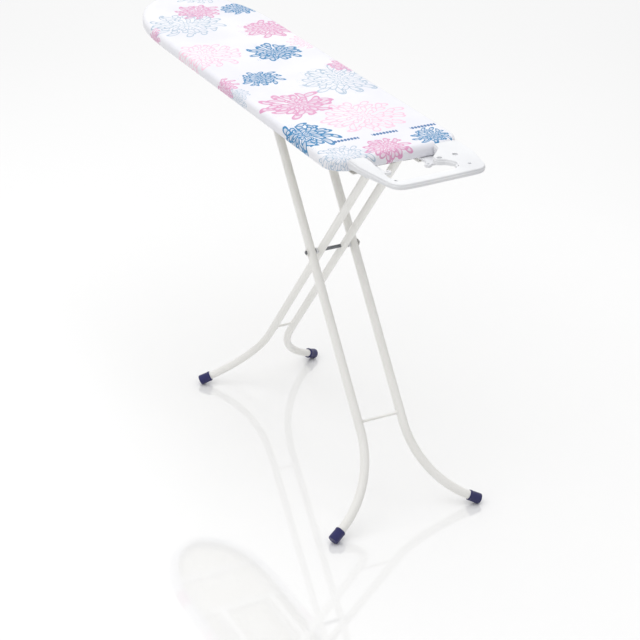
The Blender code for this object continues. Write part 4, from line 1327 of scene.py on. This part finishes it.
    def build(self, joints: dict[str, Array]) -> None:
        """Make all the small metal and nylon parts."""
        palette, sleeve = self.palette, self.sleeve_bore
        self.turned_node("pivot_axle", "inner_legs", palette.axle, 0.0010)
        self.turned_node("hinge_rod", "board", palette.zinc, 0.0008)
        self.turned_node("slider_rod", "outer_legs", palette.zinc, 0.0008)
        self.turned_node("hinge_spacer_middle", "board", palette.nylon, 0.0006, sleeve)
        self.turned_node("lever_clip", "release_lever", palette.zinc, 0.0004, self.clip_bore)
        for word, side in SIDES.items():
            self.turned_node(f"hinge_spacer_{word}", "board", palette.nylon, 0.0006, sleeve)
            self.turned_node(f"hinge_clip_{word}", "board", palette.zinc, 0.0004, sleeve)
            self.turned_node(f"pivot_spacer_{word}", "inner_legs", palette.rest, 0.0006, sleeve)
            self.turned_node(f"pivot_washer_{word}", "inner_legs", palette.enamel, 0.0004, sleeve)
            self.runner(word, side)
        for number in range(1, 5):
            self.screw(number)
        self.lever(joints["release"])
        self.spring(joints["release"])


# ---------------------------------------------------------------- the stage


@dataclass(frozen=True)
class Lamp:
    """A soft rectangular light: where it is, what it points at, its size and power."""

    name: str
    place: Triple
    aim: Triple
    size: tuple[float, float]
    power: float


LAMPS = (Lamp("overhead", (0.2, -0.6, 3.6), (0.1, 0.0, 0.5), (4.6, 4.6), 88.0),
         Lamp("back_wall", (-5.2, 2.6, 3.0), (0.0, 0.0, 1.2), (7.5, 6.0), 104.0),
         Lamp("front_card", (1.6, -4.6, 1.9), (0.1, 0.0, 0.5), (2.6, 2.6), 12.0))


@dataclass
class Studio:
    """White floor, soft lights and the camera."""

    camera_place: Triple = (3.3365, -1.5843, 2.1060)
    camera_target: Triple = (0.1663, 0.0, 0.3010)
    lens: float = 97.59
    ambient: float = 0.56

    def build(self) -> None:
        """Make the floor, the world, the lights and the camera."""
        self.floor()
        self.world()
        for lamp in LAMPS:
            self.light(lamp)
        camera = bpy.data.objects.new("camera", bpy.data.cameras.new("camera"))
        camera.data.lens = self.lens
        camera.data.clip_end = 200.0
        camera.location = self.camera_place
        aim = Vector(self.camera_target) - Vector(self.camera_place)
        camera.rotation_euler = aim.to_track_quat("-Z", "Y").to_euler()
        bpy.context.scene.collection.objects.link(camera)
        bpy.context.scene.camera = camera
        bpy.context.scene.view_settings.view_transform = "Standard"

    def floor(self) -> None:
        """A large pale floor with a faint gloss, a hair below the soles."""
        half, level = 40.0, -0.0002
        corners = ((-1, -1), (1, -1), (1, 1), (-1, 1))
        points = np.array([(x * half, y * half, level) for x, y in corners])
        desk = NodeDesk("pale_floor")
        cloud = desk.noise(desk.place(), 0.8, 2.0)
        finish = desk.finish(Base_Color=desk.mix(cloud, rgba(252, 252, 252), rgba(250, 250, 250)),
                             Roughness=cloud * 0.01 + 0.03, IOR=2.3)
        mesh_object("floor", points, np.array([(0, 1, 2, 3)]), finish)

    def world(self) -> None:
        """A white surround that lights softly: full strength where it is seen, less as a light."""
        world = bpy.data.worlds.new("studio")
        world.use_nodes = True
        tree = world.node_tree
        shade = tree.nodes["Background"]
        shade.inputs["Color"].default_value = (1.0, 1.0, 1.0, 1.0)
        rays = tree.nodes.new("ShaderNodeLightPath")
        level = tree.nodes.new("ShaderNodeMapRange")
        level.inputs["To Min"].default_value = 1.0
        level.inputs["To Max"].default_value = self.ambient
        tree.links.new(rays.outputs["Is Diffuse Ray"], level.inputs["Value"])
        tree.links.new(level.outputs[0], shade.inputs["Strength"])
        bpy.context.scene.world = world

    def light(self, lamp: Lamp) -> None:
        """Add a large soft light."""
        data = bpy.data.lights.new(lamp.name, "AREA")
        data.energy = lamp.power
        data.shape = "RECTANGLE"
        data.size, data.size_y = lamp.size
        made = bpy.data.objects.new(lamp.name, data)
        made.location = lamp.place
        made.visible_glossy = False
        made.rotation_euler = (Vector(lamp.aim) - Vector(lamp.place)).to_track_quat("-Z", "Y").to_euler()
        bpy.context.scene.collection.objects.link(made)


# ---------------------------------------------------------------- the whole board


class IroningBoard:
    """Builds every piece of the board round the loaded frame."""

    def __init__(self, frame: dict) -> None:
        """Read the main sizes from the frame."""
        self.nodes = frame["nodes"]
        self.palette = Palette()
        cover_low, cover_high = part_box("fabric_cover")
        self.outline = BoardOutline(cover_low[0], cover_high[0], cover_high[1] - cover_low[1])
        self.top = cover_high[2]
        joints = frame["record"]["behaviour"]["joints"]
        self.joints = {joint["name"]: np.array(joint["pos_m"], dtype=float) for joint in joints}

    def dress_sheet_metal(self) -> None:
        """Give the sheet-metal and elastic nodes, which keep their shape, their finishes."""
        finishes = dict.fromkeys(("rim_channel", "nose_brace", "middle_brace", "rail_near", "rail_far"),
                                 self.palette.enamel)
        finishes |= {"catch_plate": self.palette.zinc, "hem_elastic": self.palette.elastic}
        for node, finish in finishes.items():
            mesh = self.nodes[node].data
            mesh.materials.clear()
            mesh.materials.append(finish)
            LOG.info("dressed %s", node)

    def top_layers(self) -> None:
        """Cover, foam and steel mesh."""
        cover = Cover(self.outline, self.top, flowers=PRINT).build(self.palette.cotton)
        LOG.info("cover has %d faces", len(cover.data.polygons))
        foam_low, foam_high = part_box("foam_pad")
        foam = FoamPad(self.outline, foam_low[2], foam_high[2], foam_low[0] - self.outline.nose_x)
        LOG.info("foam has %d faces", len(foam.build(self.palette.foam).data.polygons))
        mesh_low, mesh_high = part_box("mesh_panel")
        panel = MeshPanel(self.outline, mesh_low[2], mesh_high[2]).build(self.palette.enamel)
        LOG.info("steel mesh has %d faces", len(panel.data.polygons))

    def legs(self) -> None:
        """Both leg pairs."""
        slider = sum(corners_of("slider_rod")) / 2
        pivot = self.joints["scissor"]
        Leg("inner", "inner_legs", self.joints["leg_fold"], pivot, 0.0283, 0.0090, 0.400).build(self.palette)
        Leg("outer", "outer_legs", slider, pivot, 0.0522, 0.0100, 0.389).build(self.palette)
        LOG.info("legs done")

    def rest(self) -> None:
        """The iron rest at the heel."""
        low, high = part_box("iron_rest")
        tongue_high = self.top - 0.0269
        rest = IronRest(self.outline.heel_x, high[0], high[2], tongue_high - 0.0045, tongue_high)
        LOG.info("iron rest has %d faces", len(rest.build(self.palette.rest).data.polygons))

    def build(self) -> None:
        """Build every sub-assembly in order."""
        self.top_layers()
        self.rest()
        self.legs()
        Hardware(self.palette).build(self.joints)
        self.dress_sheet_metal()


def main() -> None:
    """Build the scene round the frame."""
    logging.basicConfig(level=logging.INFO, format="%(name)s: %(message)s")
    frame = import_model()
    Studio().build()
    IroningBoard(frame).build()


if __name__ == "__main__":
    main()
